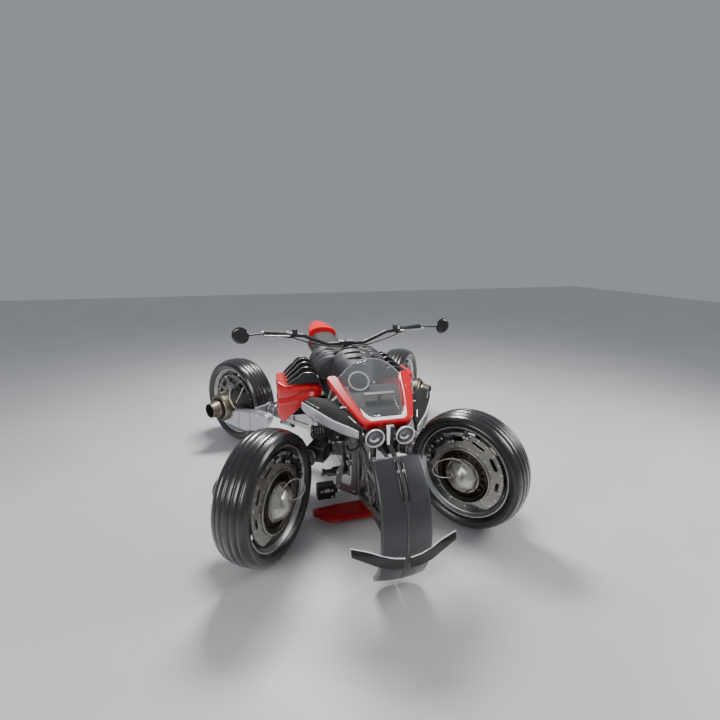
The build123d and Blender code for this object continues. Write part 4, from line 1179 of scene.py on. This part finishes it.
def makeWinglets():
    piece("wingPanels", paired(skin([wingRing(*row) for row in wingRows])), "panel", replaces=["winglets"],
          bevel=0.0025)
    piece("wingBands", paired(skin([bandRing(*row) for row in wingRows])), "band", replaces=["winglet_bands"],
          bevel=0.0015)
    seams = [pipe([alongWing(i / 11, 0.0008) for i in range(12)], 0.0014),
             pipe([at(row[1] - 0.004, row[0], row[2] + 0.001) for row in wingRows], 0.0028)]
    piece("wingSeams", paired(seams), "matt")
    # a self-lit line along the top of each band: painted highlight
    edge = pipe([at(row[1] - 0.001, row[0], row[3] - 0.0015) for row in wingRows], 0.0016)
    piece("wingEdges", paired(edge), "paintedLight")
    stays = [rod(at(*start), at(*end), radius) for start, end, radius in wing["stays"]]
    piece("wingStays", paired(stays + [route(wing["cable"], 0.0032, 3)]), "cream", bevel=0.001)
    lines = []
    for i in range(wing["ridges"]):
        start = wing["ridgeFrom"] + wing["ridgePitch"] * i
        ends = [alongWing(share, 0.0035) + Vector(wing["ridgeIn"])
                for share in (start, start + wing["ridgeLength"])]
        lines.append(rod(*ends, 0.0026 - 0.0002 * (i % 2), 8))
    piece("wingLines", paired(lines + [route(wing["light"], 0.0019)]), "bright", slot="silver_band")


# Body: shell, covers, fins, seat and tail

bodyRows = [
    # y, half width at the foot, at the shoulder, height of foot, shoulder, top
    (-0.530, 0.050, 0.052, 0.650, 0.735, 0.770),
    (-0.470, 0.070, 0.078, 0.626, 0.776, 0.838),
    (-0.400, 0.092, 0.102, 0.606, 0.800, 0.872),
    (-0.320, 0.108, 0.118, 0.575, 0.812, 0.896),
    (-0.200, 0.126, 0.122, 0.575, 0.784, 0.850),
    (-0.020, 0.132, 0.116, 0.575, 0.752, 0.806),
    (0.116, 0.120, 0.100, 0.575, 0.730, 0.776),
]
ribs = {"first": -0.290, "last": 0.020, "count": 6, "height": 0.018}
bellows = {"from": -0.312, "length": 0.290, "rings": 120, "sides": 28, "x": 0.118, "z": 0.782, "half": 0.076,
           "high": 0.068, "lean": 0.030, "swell": 0.018, "folds": 5.5, "taper": 0.22}
brow = {"from": -0.470, "pitch": 0.050, "count": 4, "share": 0.86, "sweep": 0.03, "lift": 0.004,
        "radius": 0.006}


def bodyShape(u, v):
    y = bodyRows[0][0] + (bodyRows[-1][0] - bodyRows[0][0]) * v
    _, foot, shoulder, low, mid, top = mixed(bodyRows, y)
    around = 2 * u - 1
    side = 1 if around > 0 else -1
    share = abs(around)
    if share > 0.6:             # wall
        t = (share - 0.6) / 0.4
        x, z = shoulder + (foot - shoulder) * t, mid + (low - mid) * t
    else:                       # arched top
        t = share / 0.6 * math.pi / 2
        x, z = shoulder * math.sin(t), mid + (top - mid) * math.cos(t)
    swell = 0.0
    if ribs["first"] < y < ribs["last"]:
        wave = (y - ribs["first"]) / (ribs["last"] - ribs["first"]) * ribs["count"]
        fade = max(0.0, min(1.0, (share - 0.25) / 0.2)) * (1 - max(0.0, (share - 0.9) / 0.1))
        swell = ribs["height"] * fade * math.sin(math.pi * (wave % 1.0)) ** 0.5
    return at(side * (x + swell), y, z + swell * 0.5)


def bellowsRing(share):
    b = bellows
    swell = b["swell"] * abs(math.sin(math.pi * share * b["folds"])) ** 0.5
    ends = 1.0 - b["taper"] * abs(2 * share - 1) ** 4
    ring = []
    for k in range(b["sides"]):
        across, rise = polar(360 * k / b["sides"], 1.0)
        ring.append(at(b["x"] + (b["half"] * ends + swell) * across,
                       b["from"] + b["length"] * share - b["lean"] * rise,
                       b["z"] + (b["high"] * ends + swell) * rise))
    return ring


def browLine(y):
    # over the body's arch at y
    _, _, shoulder, _, mid, top = mixed(bodyRows, y)
    points = []
    for k in range(9):
        across = 2 * k / 8 - 1
        arch = (top - mid) * math.sqrt(1 - (brow["share"] * across) ** 2)
        points.append(at(shoulder * brow["share"] * across, y + brow["sweep"] * across ** 2,
                         mid + arch + brow["lift"]))
    return pipe(points, brow["radius"])


def makeBody():
    piece("bodySkin", sheet(48, 130, bodyShape), "shell", replaces=["body_shell"], shell=0.004, smooth=50)
    # wide bellows from the fins into the hump, and layered brow between the screen and the bars
    rings = [bellowsRing(i / bellows["rings"]) for i in range(bellows["rings"] + 1)]
    piece("bellows", paired(skin(rings)), "shell", smooth=60)
    piece("browBands", [browLine(brow["from"] + brow["pitch"] * i) for i in range(brow["count"])], "gloss")


# edges of the cover's leaves over its front: x from the outer side inwards, height
coverEdges = {
    "foot": [(0.180, 0.640), (0.250, 0.600), (0.300, 0.548), (0.345, 0.478), (0.378, 0.424), (0.394, 0.428),
             (0.410, 0.462)],
    "low": [(0.180, 0.650), (0.250, 0.612), (0.300, 0.578), (0.345, 0.562), (0.385, 0.543), (0.410, 0.536)],
    "middle": [(0.180, 0.655), (0.220, 0.668), (0.286, 0.660), (0.309, 0.640), (0.354, 0.612), (0.389, 0.590),
               (0.410, 0.584)],
    "top": [(0.180, 0.684), (0.205, 0.694), (0.250, 0.7015), (0.295, 0.700), (0.325, 0.686), (0.352, 0.675),
            (0.380, 0.684), (0.410, 0.699)],
}
# lower edge, upper edge: share of the way between them and how far the skin stands out there
coverLeaves = [
    ("foot", "low", [(0.00, 0.000), (0.10, 0.010), (0.50, 0.014), (0.92, 0.004)]),
    ("low", "middle", [(-0.02, 0.003), (0.04, 0.016), (0.45, 0.020), (0.95, 0.004)]),
    ("middle", "top",
     [(0.00, 0.003), (0.06, 0.017), (0.45, 0.022), (0.85, 0.014), (0.97, 0.005), (1.00, -0.004)]),
]
cover = {"inner": 0.1788, "widest": 0.403, "steps": 26, "back": -0.044, "housing": (0.150, 0.130, 0.120),
         "housingAt": (0.256, -0.100, 0.530), "ribs": 5, "rib": (0.156, 0.008, 0.112), "ribFrom": -0.155,
         "ribPitch": 0.026}


def coverFront(x, z):
    # y of the front before the leaves stand out from it
    across = (x - 0.179) / 0.231
    return -0.352 + 0.060 * across + 0.092 * across ** 3 + (0.70 - z) * 0.34


def coverRing(lower, upper, share, out):
    points = []
    inner = cover["inner"]
    widest = cover["widest"] + 0.004 * share
    for i in range(cover["steps"] + 1):
        x = inner + (widest - inner) * i / cover["steps"]
        low = mixed(coverEdges[lower], x)[1]
        high = mixed(coverEdges[upper], x)[1]
        z = low + (high - low) * share
        fade = min(1.0, (high - low) / 0.040) * min(1.0, i / 3)
        points.append(at(x + out * 0.35 * i / cover["steps"], coverFront(x, z) - out * fade, z))
    z = points[-1].z
    front = points[-1].y - middleY
    side = widest + 0.006 + out * 0.30
    points[-1] = at(side - 0.004, front + 0.003, z)
    for t in (0.06, 0.3, 0.6, 1.0):
        points.append(at(side - 0.006 * t, front + 0.012 + (cover["back"] - front) * t, z))
    return points + [at(side - 0.030, -0.018, z),
                     at(inner, 0.014, mixed(coverEdges[lower], inner)[1] + 0.02 * share)]


def makeCovers():
    rings = [coverRing(lower, upper, share, out) for lower, upper, levels in coverLeaves
             for share, out in levels]
    piece("kneeCovers", paired(skin(rings)), "red", replaces=["side_covers"], bevel=0.0016, smooth=60)
    # dark lines under each leaf stand for the shadow each leaf casts, a painted shadow; and the dark housing
    # behind the covers
    seams = [pipe(coverRing(lower, upper, -0.01, 0.004)[2:30], 0.0020) for lower, upper, _ in coverLeaves[1:]]
    x, y, z = cover["housingAt"]
    seams.append(block(cover["housing"], at(x, y, z)))
    seams += [block(cover["rib"], at(x, cover["ribFrom"] + cover["ribPitch"] * i, z))
              for i in range(cover["ribs"])]
    piece("coverShadowLinesAndHousing", paired(seams), "matt")


# y and height of each fin over the covers
gills = [(-0.300, 0.068), (-0.240, 0.084), (-0.172, 0.096), (-0.104, 0.103), (-0.040, 0.098)]
gill = {"thick": 0.015, "foot": 0.7028, "edge": 0.0014}


def gillOutline(high):
    points = [(0.1795, 0.0), (0.371, 0.0)] + bow((0.371, 0.0), (0.3055, high * 0.64), -0.003, 5)
    points += bow((0.3055, high * 0.64), (0.252, high - 0.001), -0.0075, 9)
    points += bow((0.252, high - 0.001), (0.197, high * 0.58), -0.010, 9)
    return points + [(0.197, high * 0.58)]


def makeGills():
    fins = []
    edges = []
    for y, high in gills:
        outline = gillOutline(high)
        here = Matrix.Translation(at(0, y + gill["thick"] / 2, gill["foot"])) @ rotation(90, "X")
        fins.append(moved(prism(outline, gill["thick"]), here))
        edges.append(pipe([here @ Vector((x, z - 0.0016, gill["thick"] - 0.0004)) for x, z in outline[2:]],
                          gill["edge"]))
    piece("gillFins", paired(fins), "satin", slot="black_gloss", replaces=["intake_fins"], bevel=0.0032)
    piece("gillEdges", paired(edges), "steel", slot="silver_band")


tail = {
    # y, half width, height of the foot and of the top
    "rows": [(0.642, 0.104, 0.700, 0.850), (0.720, 0.098, 0.710, 0.862), (0.800, 0.084, 0.730, 0.866),
             (0.880, 0.060, 0.762, 0.864), (0.930, 0.042, 0.788, 0.856)],
    "shoulder": 0.045, "glass": (0.076, 0.010, 0.026), "glassAt": (0, 0.937, 0.811),
}


def tailRing(y, half, low, top):
    ring = [(-half * 0.7, low), (half * 0.7, low), (half, low + 0.03)]
    for i in range(9):
        across, rise = polar(22.5 * i, 1.0)
        ring.append((half * across, top - tail["shoulder"] + tail["shoulder"] * rise))
    return [at(x, y, z) for x, z in ring + [(-half, low + 0.03)]]


def makeTail():
    piece("tailShell", skin([tailRing(*row) for row in tail["rows"]]), "red", replaces=["tail"], bevel=0.004)
    piece("tailGlass", block(tail["glass"], at(*tail["glassAt"])), "tailRed", replaces=["tail_lamp"],
          bevel=0.003)


belly = {
    # z, nose half width, nose y, ear half width, ear y from and to
    "rows": [(0.0445, 0.204, -0.662, 0.280, -0.582, -0.540), (0.049, 0.208, -0.664, 0.284, -0.584, -0.538),
             (0.058, 0.196, -0.650, 0.276, -0.574, -0.530)],
    "back": [(0.060, -0.508), (0.149, -0.515)],
}


def makeBellyTray():
    rings = []
    for z, noseX, noseY, earX, earFront, earBack in belly["rows"]:
        half = belly["back"] + [(earX, earBack), (earX, earFront), (noseX, noseY), (0.060, noseY)]
        rings.append([at(x, y, z) for x, y in half + [(-x, y) for x, y in reversed(half)]])
    # the tray takes the darker copy of the red paint: painted shade
    piece("bellyTray", skin(rings), "shadedRed", replaces=["belly_pan"], bevel=0.003)


# Frame, keel and the bay behind the nose

hinges = {"y": (-0.22887, 0.02311), "x": 0.145, "earTop": 0.388, "circle": 0.0335,
          "cap": [(0, 0.0), (0, 0.022), (0.004, 0.022), (0.007, 0.018), (0.007, 0.0)]}
frameTrim = {
    # y and z of the heads on the side plate, x and z of those on the bulkhead
    "plate": [(-0.448, 0.240), (-0.448, 0.330), (-0.448, 0.392), (-0.420, 0.190), (-0.300, 0.440),
              (-0.240, 0.440), (-0.240, 0.180), (-0.160, 0.440), (-0.020, 0.440), (-0.020, 0.180),
              (0.080, 0.440), (0.080, 0.180), (0.206, 0.440), (0.206, 0.190), (0.316, 0.250), (0.316, 0.440)],
    "bulkhead": [(0.122, 0.226), (0.120, 0.140), (0.088, 0.352), (0.086, 0.388), (0.030, 0.090),
                 (0.030, 0.400), (0.024, 0.360)],
    # x and z of the corners of the bulkhead's window
    "window": [(0.078, 0.330), (0.086, 0.280), (0.108, 0.160), (0.046, 0.128), (0.040, 0.330),
               (0.078, 0.330)],
    "fins": 28, "fin": (0.0016, 0.006, 0.220), "finFrom": (0.0506, -0.272, 0.314), "finPitch": 0.0155,
    "pegAt": (0, 0.300, 0.420), "rings": 9, "ringFrom": 0.086, "ringPitch": 0.016,
    "plateFace": 0.0602, "bulkheadFace": -0.4704,
}


def makeFrameTrim():
    t = frameTrim
    heads = [bolts([at(t["plateFace"], y, z) for y, z in t["plate"]], (1, 0, 0), "frame")]
    for y in hinges["y"]:
        top = at(hinges["x"], y, hinges["earTop"])
        places = [top + Vector((*polar(60 * i, hinges["circle"]), 0)) for i in range(6)]
        heads += [bolts(places, (0, 0, 1), "hinge"),
                  moved(lathe(hinges["cap"], 32, closed=False), Matrix.Translation(top) @ rotation(-90, "Y"))]
    piece("frameBolts", paired(heads), "bright", bevel=0.0006)
    heads = bolts([at(x, t["bulkheadFace"], z) for x, z in t["bulkhead"]], (0, -1, 0), "frame")
    piece("bulkheadBolts", paired(heads), "bright", bevel=0.0006)
    loop = [at(x, t["bulkheadFace"] - 0.0008, z) for x, z in t["window"]]
    line = [point for first, last in zip(loop, loop[1:]) for point in (first, first.lerp(last, 0.5))]
    piece("bulkheadRims", paired(pipe(line + loop[-1:], 0.0022)), "tin")
    x, y, z = t["finFrom"]
    fins = [block(t["fin"], at(x, y + t["finPitch"] * i, z)) for i in range(t["fins"])]
    piece("energyRibs", paired(fins), "matt")
    outline = [(0.084, 0.010)]
    for i in range(t["rings"]):
        x = t["ringFrom"] + t["ringPitch"] * i
        outline += [(x, 0.0131), (x + 0.001, 0.0150), (x + 0.012, 0.0150), (x + 0.013, 0.0131)]
    peg = lathe(outline + [(0.236, 0.0131), (0.2365, 0.0)], 40, closed=False)
    piece("pegRubbers", paired(moved(peg, Matrix.Translation(at(*t["pegAt"])))), "grip", smooth=40)


keel = {
    # bars of the side plates between bulkhead and fender: y, z to y, z and width
    "bars": [((-0.474, 0.398), (-0.650, 0.346), 0.034), ((-0.640, 0.346), (-0.930, 0.346), 0.032),
             ((-0.500, 0.082), (-0.925, 0.208), 0.034), ((-0.476, 0.395), (-0.500, 0.086), 0.028),
             ((-0.506, 0.094), (-0.655, 0.340), 0.022), ((-0.655, 0.340), (-0.742, 0.156), 0.022),
             ((-0.742, 0.156), (-0.838, 0.340), 0.022), ((-0.838, 0.340), (-0.918, 0.212), 0.022)],
    "face": 0.0115, "thick": 0.006,
    "eyes": [(-0.655, 0.344), (-0.838, 0.344), (-0.742, 0.154), (-0.506, 0.090), (-0.915, 0.210)],
}
module = {
    "x": 0.187, "z": 0.102, "case": (0.098, 0.060, 0.080), "y": -0.432, "ribs": 6,
    "rib": (0.101, 0.004, 0.070), "ribFrom": -0.456, "ribPitch": 0.0095, "plug": (0.020, 0.040, 0.030),
    "plugAt": (0.132, -0.440, 0.110),
    "sockets": [(0.158, 0.122), (0.216, 0.122), (0.158, 0.082)],        # x, z
    "socketRoot": -0.460, "socketEnd": -0.478, "link": [(0.172, -0.474, 0.122), (0.202, -0.474, 0.122)],
}


def makeKeelTrim():
    face = keel["face"]
    plates = []
    for first, last, width in keel["bars"]:
        y, z = (first[0] + last[0]) / 2, (first[1] + last[1]) / 2
        long, high = last[0] - first[0], last[1] - first[1]
        plates.append(block((keel["thick"], math.hypot(long, high), width), at(face, y, z),
                            (math.degrees(math.atan2(high, long)), 0, 0)))
    plates += [rod(at(0.004, y, z), at(face, y, z), 0.012) for y, z in keel["eyes"]]
    heads = bolts([at(face + 0.0029, y, z) for y, z in keel["eyes"]], (1, 0, 0), "keel")
    piece("keelTruss", paired(plates), "tin", bevel=0.0012)
    piece("keelBolts", paired(heads), "bright", bevel=0.0006)


def makeModules():
    m = module
    parts = [block(m["case"], at(m["x"], m["y"], m["z"]))]
    parts += [block(m["rib"], at(m["x"], m["ribFrom"] + m["ribPitch"] * i, m["z"])) for i in range(m["ribs"])]
    parts.append(block(m["plug"], at(*m["plugAt"])))
    parts += [rod(at(x, m["socketRoot"], z), at(x, m["socketEnd"], z), 0.010) for x, z in m["sockets"]]
    piece("bayModules", paired(parts), "satin", slot="black_matt", bevel=0.002)
    lights = [rod(*[at(*end) for end in m["link"]], 0.0115),
              bolts([at(x, m["socketEnd"], z) for x, z in m["sockets"]], (0, -1, 0), "socket")]
    piece("bayConnectors", paired(lights), "cream", bevel=0.001)


bay = {
    # points and radius of each hose
    "hoses": [
        ([(0.250, -0.404, 0.452), (0.264, -0.430, 0.448), (0.236, -0.462, 0.438), (0.196, -0.452, 0.440),
          (0.160, -0.440, 0.446)], 0.0075),
        ([(0.086, -0.452, 0.410), (0.090, -0.488, 0.380), (0.088, -0.494, 0.318), (0.082, -0.482, 0.268),
          (0.078, -0.466, 0.232)], 0.0065),
        ([(0.120, -0.452, 0.486), (0.150, -0.500, 0.506), (0.150, -0.560, 0.540), (0.116, -0.630, 0.580),
          (0.098, -0.680, 0.640)], 0.0075),
        ([(0.090, -0.450, 0.500), (0.100, -0.500, 0.540), (0.078, -0.560, 0.575), (0.080, -0.640, 0.610)],
         0.006),
        ([(0.166, -0.400, 0.480), (0.200, -0.392, 0.510), (0.196, -0.380, 0.556), (0.150, -0.350, 0.580),
          (0.100, -0.330, 0.600)], 0.009),
        ([(0.070, -0.420, 0.396), (0.072, -0.500, 0.360), (0.040, -0.560, 0.400), (0.030, -0.640, 0.470),
          (0.030, -0.700, 0.520)], 0.006),
    ],
    # place and size of each connector
    "plugs": [(0.128, -0.478, 0.452, 0.030), (0.076, -0.482, 0.300, 0.020), (0.110, -0.640, 0.590, 0.028),
              (0.196, -0.386, 0.546, 0.024)],
    "actuator": (-0.400, 0.186),        # y, z
    # from x, to x, radius, sides of its steps
    "steps": [(0.060, 0.170, 0.0155, 24), (0.168, 0.196, 0.0085, 24), (0.072, 0.077, 0.0185, 24),
              (0.084, 0.089, 0.0185, 24), (0.096, 0.101, 0.0185, 24), (0.160, 0.165, 0.0185, 24),
              (0.194, 0.206, 0.0125, 6)],
    "cooler": (-0.404, 0.452),          # y, z
    "coolerRings": (0.178, 0.192, 0.206, 0.220, 0.234), "ringInside": 0.0342, "ringOutside": 0.0368,
    "coolerFace": 0.2502, "coolerCap": 0.2563, "coolerCircle": 0.034, "caseFace": -0.4465,
    "caseBolts": [(0.068, 0.408), (0.160, 0.408), (0.068, 0.498), (0.160, 0.498)],
    "plugBolts": [(0.110, -0.660, 0.585), (0.128, -0.498, 0.452), (0.076, -0.496, 0.300)],
}


def makeBayTrim():
    hoses = [route(points, radius, 4) for points, radius in bay["hoses"]]
    hoses += [block((size, size * 1.3, size), at(x, y, z), (20, 10, 30)) for x, y, z, size in bay["plugs"]]
    piece("bayHoses", paired(hoses), "matt", bevel=0.0008)
    y, z = bay["actuator"]
    parts = [rod(at(start, y, z), at(end, y, z), radius, sides) for start, end, radius, sides in bay["steps"]]
    y, z = bay["cooler"]
    inside, outside = bay["ringInside"], bay["ringOutside"]
    for x in bay["coolerRings"]:
        ring = lathe([(x, inside), (x, outside), (x + 0.004, outside), (x + 0.004, inside)], 48)
        parts.append(moved(ring, Matrix.Translation(at(0, y, z))))
    piece("bayCylinders", paired(parts), "tin", bevel=0.0008)
    circle = [at(x, y + along, z + rise)
              for x, along, rise in ringPlaces(8, bay["coolerCircle"], bay["coolerFace"])]
    heads = [bolts([at(x, bay["caseFace"], z) for x, z in bay["caseBolts"]], (0, -1, 0), "case"),
             bolts(circle, (1, 0, 0), "cooler"), bolts([at(bay["coolerCap"], y, z)], (1, 0, 0), "coolerCap"),
             bolts([at(*place) for place in bay["plugBolts"]], (0, -1, 0), "plug")]
    piece("bayBolts", paired(heads), "bright", bevel=0.0006)


# Bars, mirrors and levers

bars = {"y": -0.150, "z": 0.890, "gripFrom": (0.356, -0.0073, 0.0696), "gripTo": (0.472, 0, 0.080),
        "elbow": (0.250, -0.014, 0.060), "rings": 16, "ringFrom": 0.007, "ringPitch": 0.0064,
        "switches": [((0.016, 0.014, 0.010), (0.342, 0.006, 0.082)),
                     ((0.010, 0.010, 0.008), (0.338, 0.012, 0.066))],
        "pod": [(-0.030, 0.0115), (-0.030, 0.0185), (-0.027, 0.020), (-0.005, 0.020), (-0.002, 0.0185),
                (-0.002, 0.0115)]}


def atBar(x, y, z):
    return at(x, bars["y"] + y, bars["z"] + z)


def makeGrips():
    start = atBar(*bars["gripFrom"])
    line = atBar(*bars["gripTo"]) - start
    turn = Matrix.Translation(start) @ line.to_track_quat("X", "Z").to_matrix().to_4x4()
    outline = [(0.0, 0.0115), (0.0, 0.0168), (0.004, 0.0170)]
    for i in range(bars["rings"]):
        x = bars["ringFrom"] + bars["ringPitch"] * i
        outline += [(x, 0.0152), (x + 0.001, 0.0166), (x + 0.0045, 0.0166), (x + 0.0055, 0.0152)]
    end = line.length
    outline += [(end - 0.005, 0.0169), (end, 0.0160), (end, 0.0115)]
    piece("gripSleeves", paired(moved(lathe(outline, 44), turn)), "grip", "steering", replaces=["grips"],
          smooth=40)
    weight = [(end + 0.0005, 0.0), (end + 0.0005, 0.0125), (end + 0.004, 0.0135), (end + 0.012, 0.0125),
              (end + 0.014, 0.009), (end + 0.014, 0.0)]
    piece("barWeights", paired(moved(lathe(weight, 36, closed=False), turn)), "tin", "steering", smooth=30)
    switches = [block(size, atBar(*place)) for size, place in bars["switches"]]
    piece("switchPods", paired([moved(lathe(bars["pod"], 36), turn)] + switches), "satin", "steering",
          bevel=0.0012)


mirror = {
    "at": (0.600, -0.056, 0.084), "turn": 102, "root": [(0.4735, 0, 0.080), (0.486, 0, 0.080)],
    "stalk": [(0.480, 0, 0.080), (0.500, -0.012, 0.081), (0.568, -0.060, 0.084), (0.580, -0.058, 0.084)],
    "shell": [(0.0055, 0.043), (0.0058, 0.0465), (0.003, 0.0478)]
    + bow((0.003, 0.0478), (-0.0058, 0.030), -0.003, 8)
    + [(-0.0058, 0.030), (-0.0060, 0.0), (0.0030, 0.0), (0.0030, 0.042)],
    "glass": [(0.0032, 0.0), (0.0032, 0.0415), (0.0042, 0.0425), (0.0046, 0.0)],
}


def makeMirrors():
    stalk = [rod(*[atBar(*end) for end in mirror["root"]], 0.0078),
             pipe([atBar(*point) for point in mirror["stalk"]], 0.0058, 5)]
    piece("mirrorStalks", paired(stalk), "satin", "steering")
    face = Matrix.Translation(atBar(*mirror["at"])) @ rotation(mirror["turn"], "Z")
    piece("mirrorShells", paired(moved(lathe(mirror["shell"], 64, closed=False), face)), "gloss", "steering",
          replaces=["mirrors"], smooth=40)
    piece("mirrorGlasses", paired(moved(lathe(mirror["glass"], 64, closed=False), face)), "mirror",
          "steering", smooth=40)


lever = {
    "blade": [(0.322, -0.036, 0.066), (0.336, -0.052, 0.068), (0.352, -0.062, 0.070), (0.392, -0.061, 0.0725),
              (0.440, -0.059, 0.0745), (0.468, -0.058, 0.076)],
    "knob": (0.469, -0.058, 0.076), "perch": (0.034, 0.022, 0.026), "perchAt": (0.322, -0.026, 0.066),
    "clampAt": (0.322, -0.0095, 0.0665), "potAt": (0.300, -0.030, 0.070), "boltAt": (0.322, -0.036, 0.0792),
    "clamp": [(-0.010, 0.0114), (-0.010, 0.0165), (0.010, 0.0165), (0.010, 0.0114)],
    "pot": [(0.0, 0.0), (0.0, 0.0150), (0.024, 0.0150), (0.026, 0.0165), (0.031, 0.0165), (0.032, 0.015),
            (0.032, 0.0)],
}


def makeLevers():
    blades = [pipe([atBar(*point) for point in lever["blade"]], 0.0048, 4),
              ball(atBar(*lever["knob"]), 0.0068, 20, 12)]
    piece("leverBlades", paired(blades), "alloy", "steering", replaces=["levers"], smooth=60)
    line = (atBar(*bars["gripTo"]) - atBar(*bars["elbow"])).to_track_quat("X", "Z").to_matrix().to_4x4()
    pot = lathe(lever["pot"], 36, closed=False)
    perches = [block(lever["perch"], atBar(*lever["perchAt"])),
               moved(lathe(lever["clamp"], 36), Matrix.Translation(atBar(*lever["clampAt"])) @ line),
               moved(pot, Matrix.Translation(atBar(*lever["potAt"])) @ rotation(-90, "Y"))]
    piece("leverPerches", paired(perches), "satin", "steering", bevel=0.001)
    riser = [atBar(x, y, 0.0162) for x in (0.018, 0.036) for y in (-0.024, 0.012)]
    heads = [bolts([atBar(*lever["boltAt"])], (0, 0, 1), "lever"), bolts(riser, (0, 0, 1), "riser")]
    piece("barBolts", paired(heads), "bright", "steering", bevel=0.0005)


# Seat

# y, half width, height of the top
seatRows = [(0.124, 0.080, 0.760), (0.180, 0.096, 0.7645), (0.250, 0.106, 0.7715), (0.330, 0.110, 0.782),
            (0.420, 0.110, 0.793), (0.520, 0.104, 0.801), (0.590, 0.092, 0.811), (0.630, 0.078, 0.815)]
seat = {
    "foot": 0.7055, "edge": 0.7150, "round": 0.024,
    "voxel": 0.0055, "cap": 0.0075, "held": 0.7075, "pressure": 4, "tension": 12, "bending": 2, "frames": 20,
    # y, half width and top at each sewn line
    "lines": [(0.250, 0.106, 0.7715), (0.420, 0.110, 0.793), (0.560, 0.098, 0.8065)],
    "pipingZ": 0.7085, "pipingOut": 0.004,
}


def seatRing(y, half, top):
    points = [(-half, seat["foot"]), (half, seat["foot"]), (half + 0.001, seat["edge"]), (half, top - 0.030)]
    for k in range(1, 12):
        across, rise = polar(15 * k, 1.0)
        points.append((half * across, top - seat["round"] + seat["round"] * rise))
    points += [(-half, top - 0.030), (-half - 0.001, seat["edge"])]
    return [at(x, y, z) for x, z in points]


def settled(made):
    # the piece with its modifiers worked in
    graph = bpy.context.evaluated_depsgraph_get()
    mesh = bpy.data.meshes.new_from_object(made.evaluated_get(graph))
    made.modifiers.clear()
    made.data = mesh
    return mesh


def swollen(made):
    # blows the pad up as cloth, and holds every point within the cap of where it began
    remesh = made.modifiers.new("voxels", "REMESH")
    remesh.mode = "VOXEL"
    remesh.voxel_size = seat["voxel"]
    began = [vert.co.copy() for vert in settled(made).vertices]
    cloth = made.modifiers.new("cloth", "CLOTH")
    cloth.settings.use_pressure = True
    cloth.settings.uniform_pressure_force = seat["pressure"]
    cloth.settings.effector_weights.gravity = 0
    cloth.settings.tension_stiffness = seat["tension"]
    cloth.settings.bending_stiffness = seat["bending"]
    cloth.point_cache.frame_start = 1
    cloth.point_cache.frame_end = seat["frames"]
    for frameNumber in range(1, seat["frames"] + 1):
        scene.frame_set(frameNumber)
    for vert, first in zip(settled(made).vertices, began):
        step = vert.co - first
        if first.z < seat["held"]:
            step.z = max(step.z, 0.0)
        if step.length > seat["cap"]:
            step = step * (seat["cap"] / step.length)
        vert.co = first + step
    scene.frame_set(1)


def makeSeat():
    bm = skin([seatRing(*row) for row in seatRows])
    bmesh.ops.recalc_face_normals(bm, faces=bm.faces)
    pad = linked("seatPad", bm)
    swollen(pad)
    pad.data.materials.clear()
    pad.data.materials.append(finishes["leather"])
    pad.data.shade_smooth()
    finer = pad.modifiers.new("finer", "SUBSURF")
    finer.levels = finer.render_levels = 1
    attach(pad, "root")
    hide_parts("seat")
    # sewn lines across the pad and piping round its foot
    seams = []
    for y, half, top in seat["lines"]:
        arc = [polar(15 * k, 1.0) for k in range(13)]
        seam = [at((half + 0.005) * across, y, top - 0.022 + 0.0285 * rise) for across, rise in arc]
        seams.append(pipe(seam, 0.0016))
    for side in (1, -1):
        foot = [at(side * (half + seat["pipingOut"]), y, seat["pipingZ"]) for y, half, _ in seatRows]
        seams.append(pipe(foot, 0.0030, 3))
    piece("seatPiping", seams, "matt")


setView()
setLights()
makeFinishes()
makeFloor()
dressNodes()
print("stage: view, light and finishes done")

for make in (makeTyres, makeCones, makeIntakeRings, makeCans, makeNozzles, makeClamps, makeHubTrim,
             makeHubClips, makeRimTrim, shadeWheelInsides, makePodTrim, makeArmTrim):
    make()
print("stage: corners done")

for make in (makeFender, makeFenderFins, makeCowl, makeScreen, makeInstruments, makeLamps, makeWinglets,
             makeBody, makeCovers, makeGills, makeTail, makeBellyTray, makeFrameTrim, makeKeelTrim,
             makeModules, makeBayTrim, makeGrips, makeMirrors, makeLevers, makeSeat):
    make()
print("stage: body done")
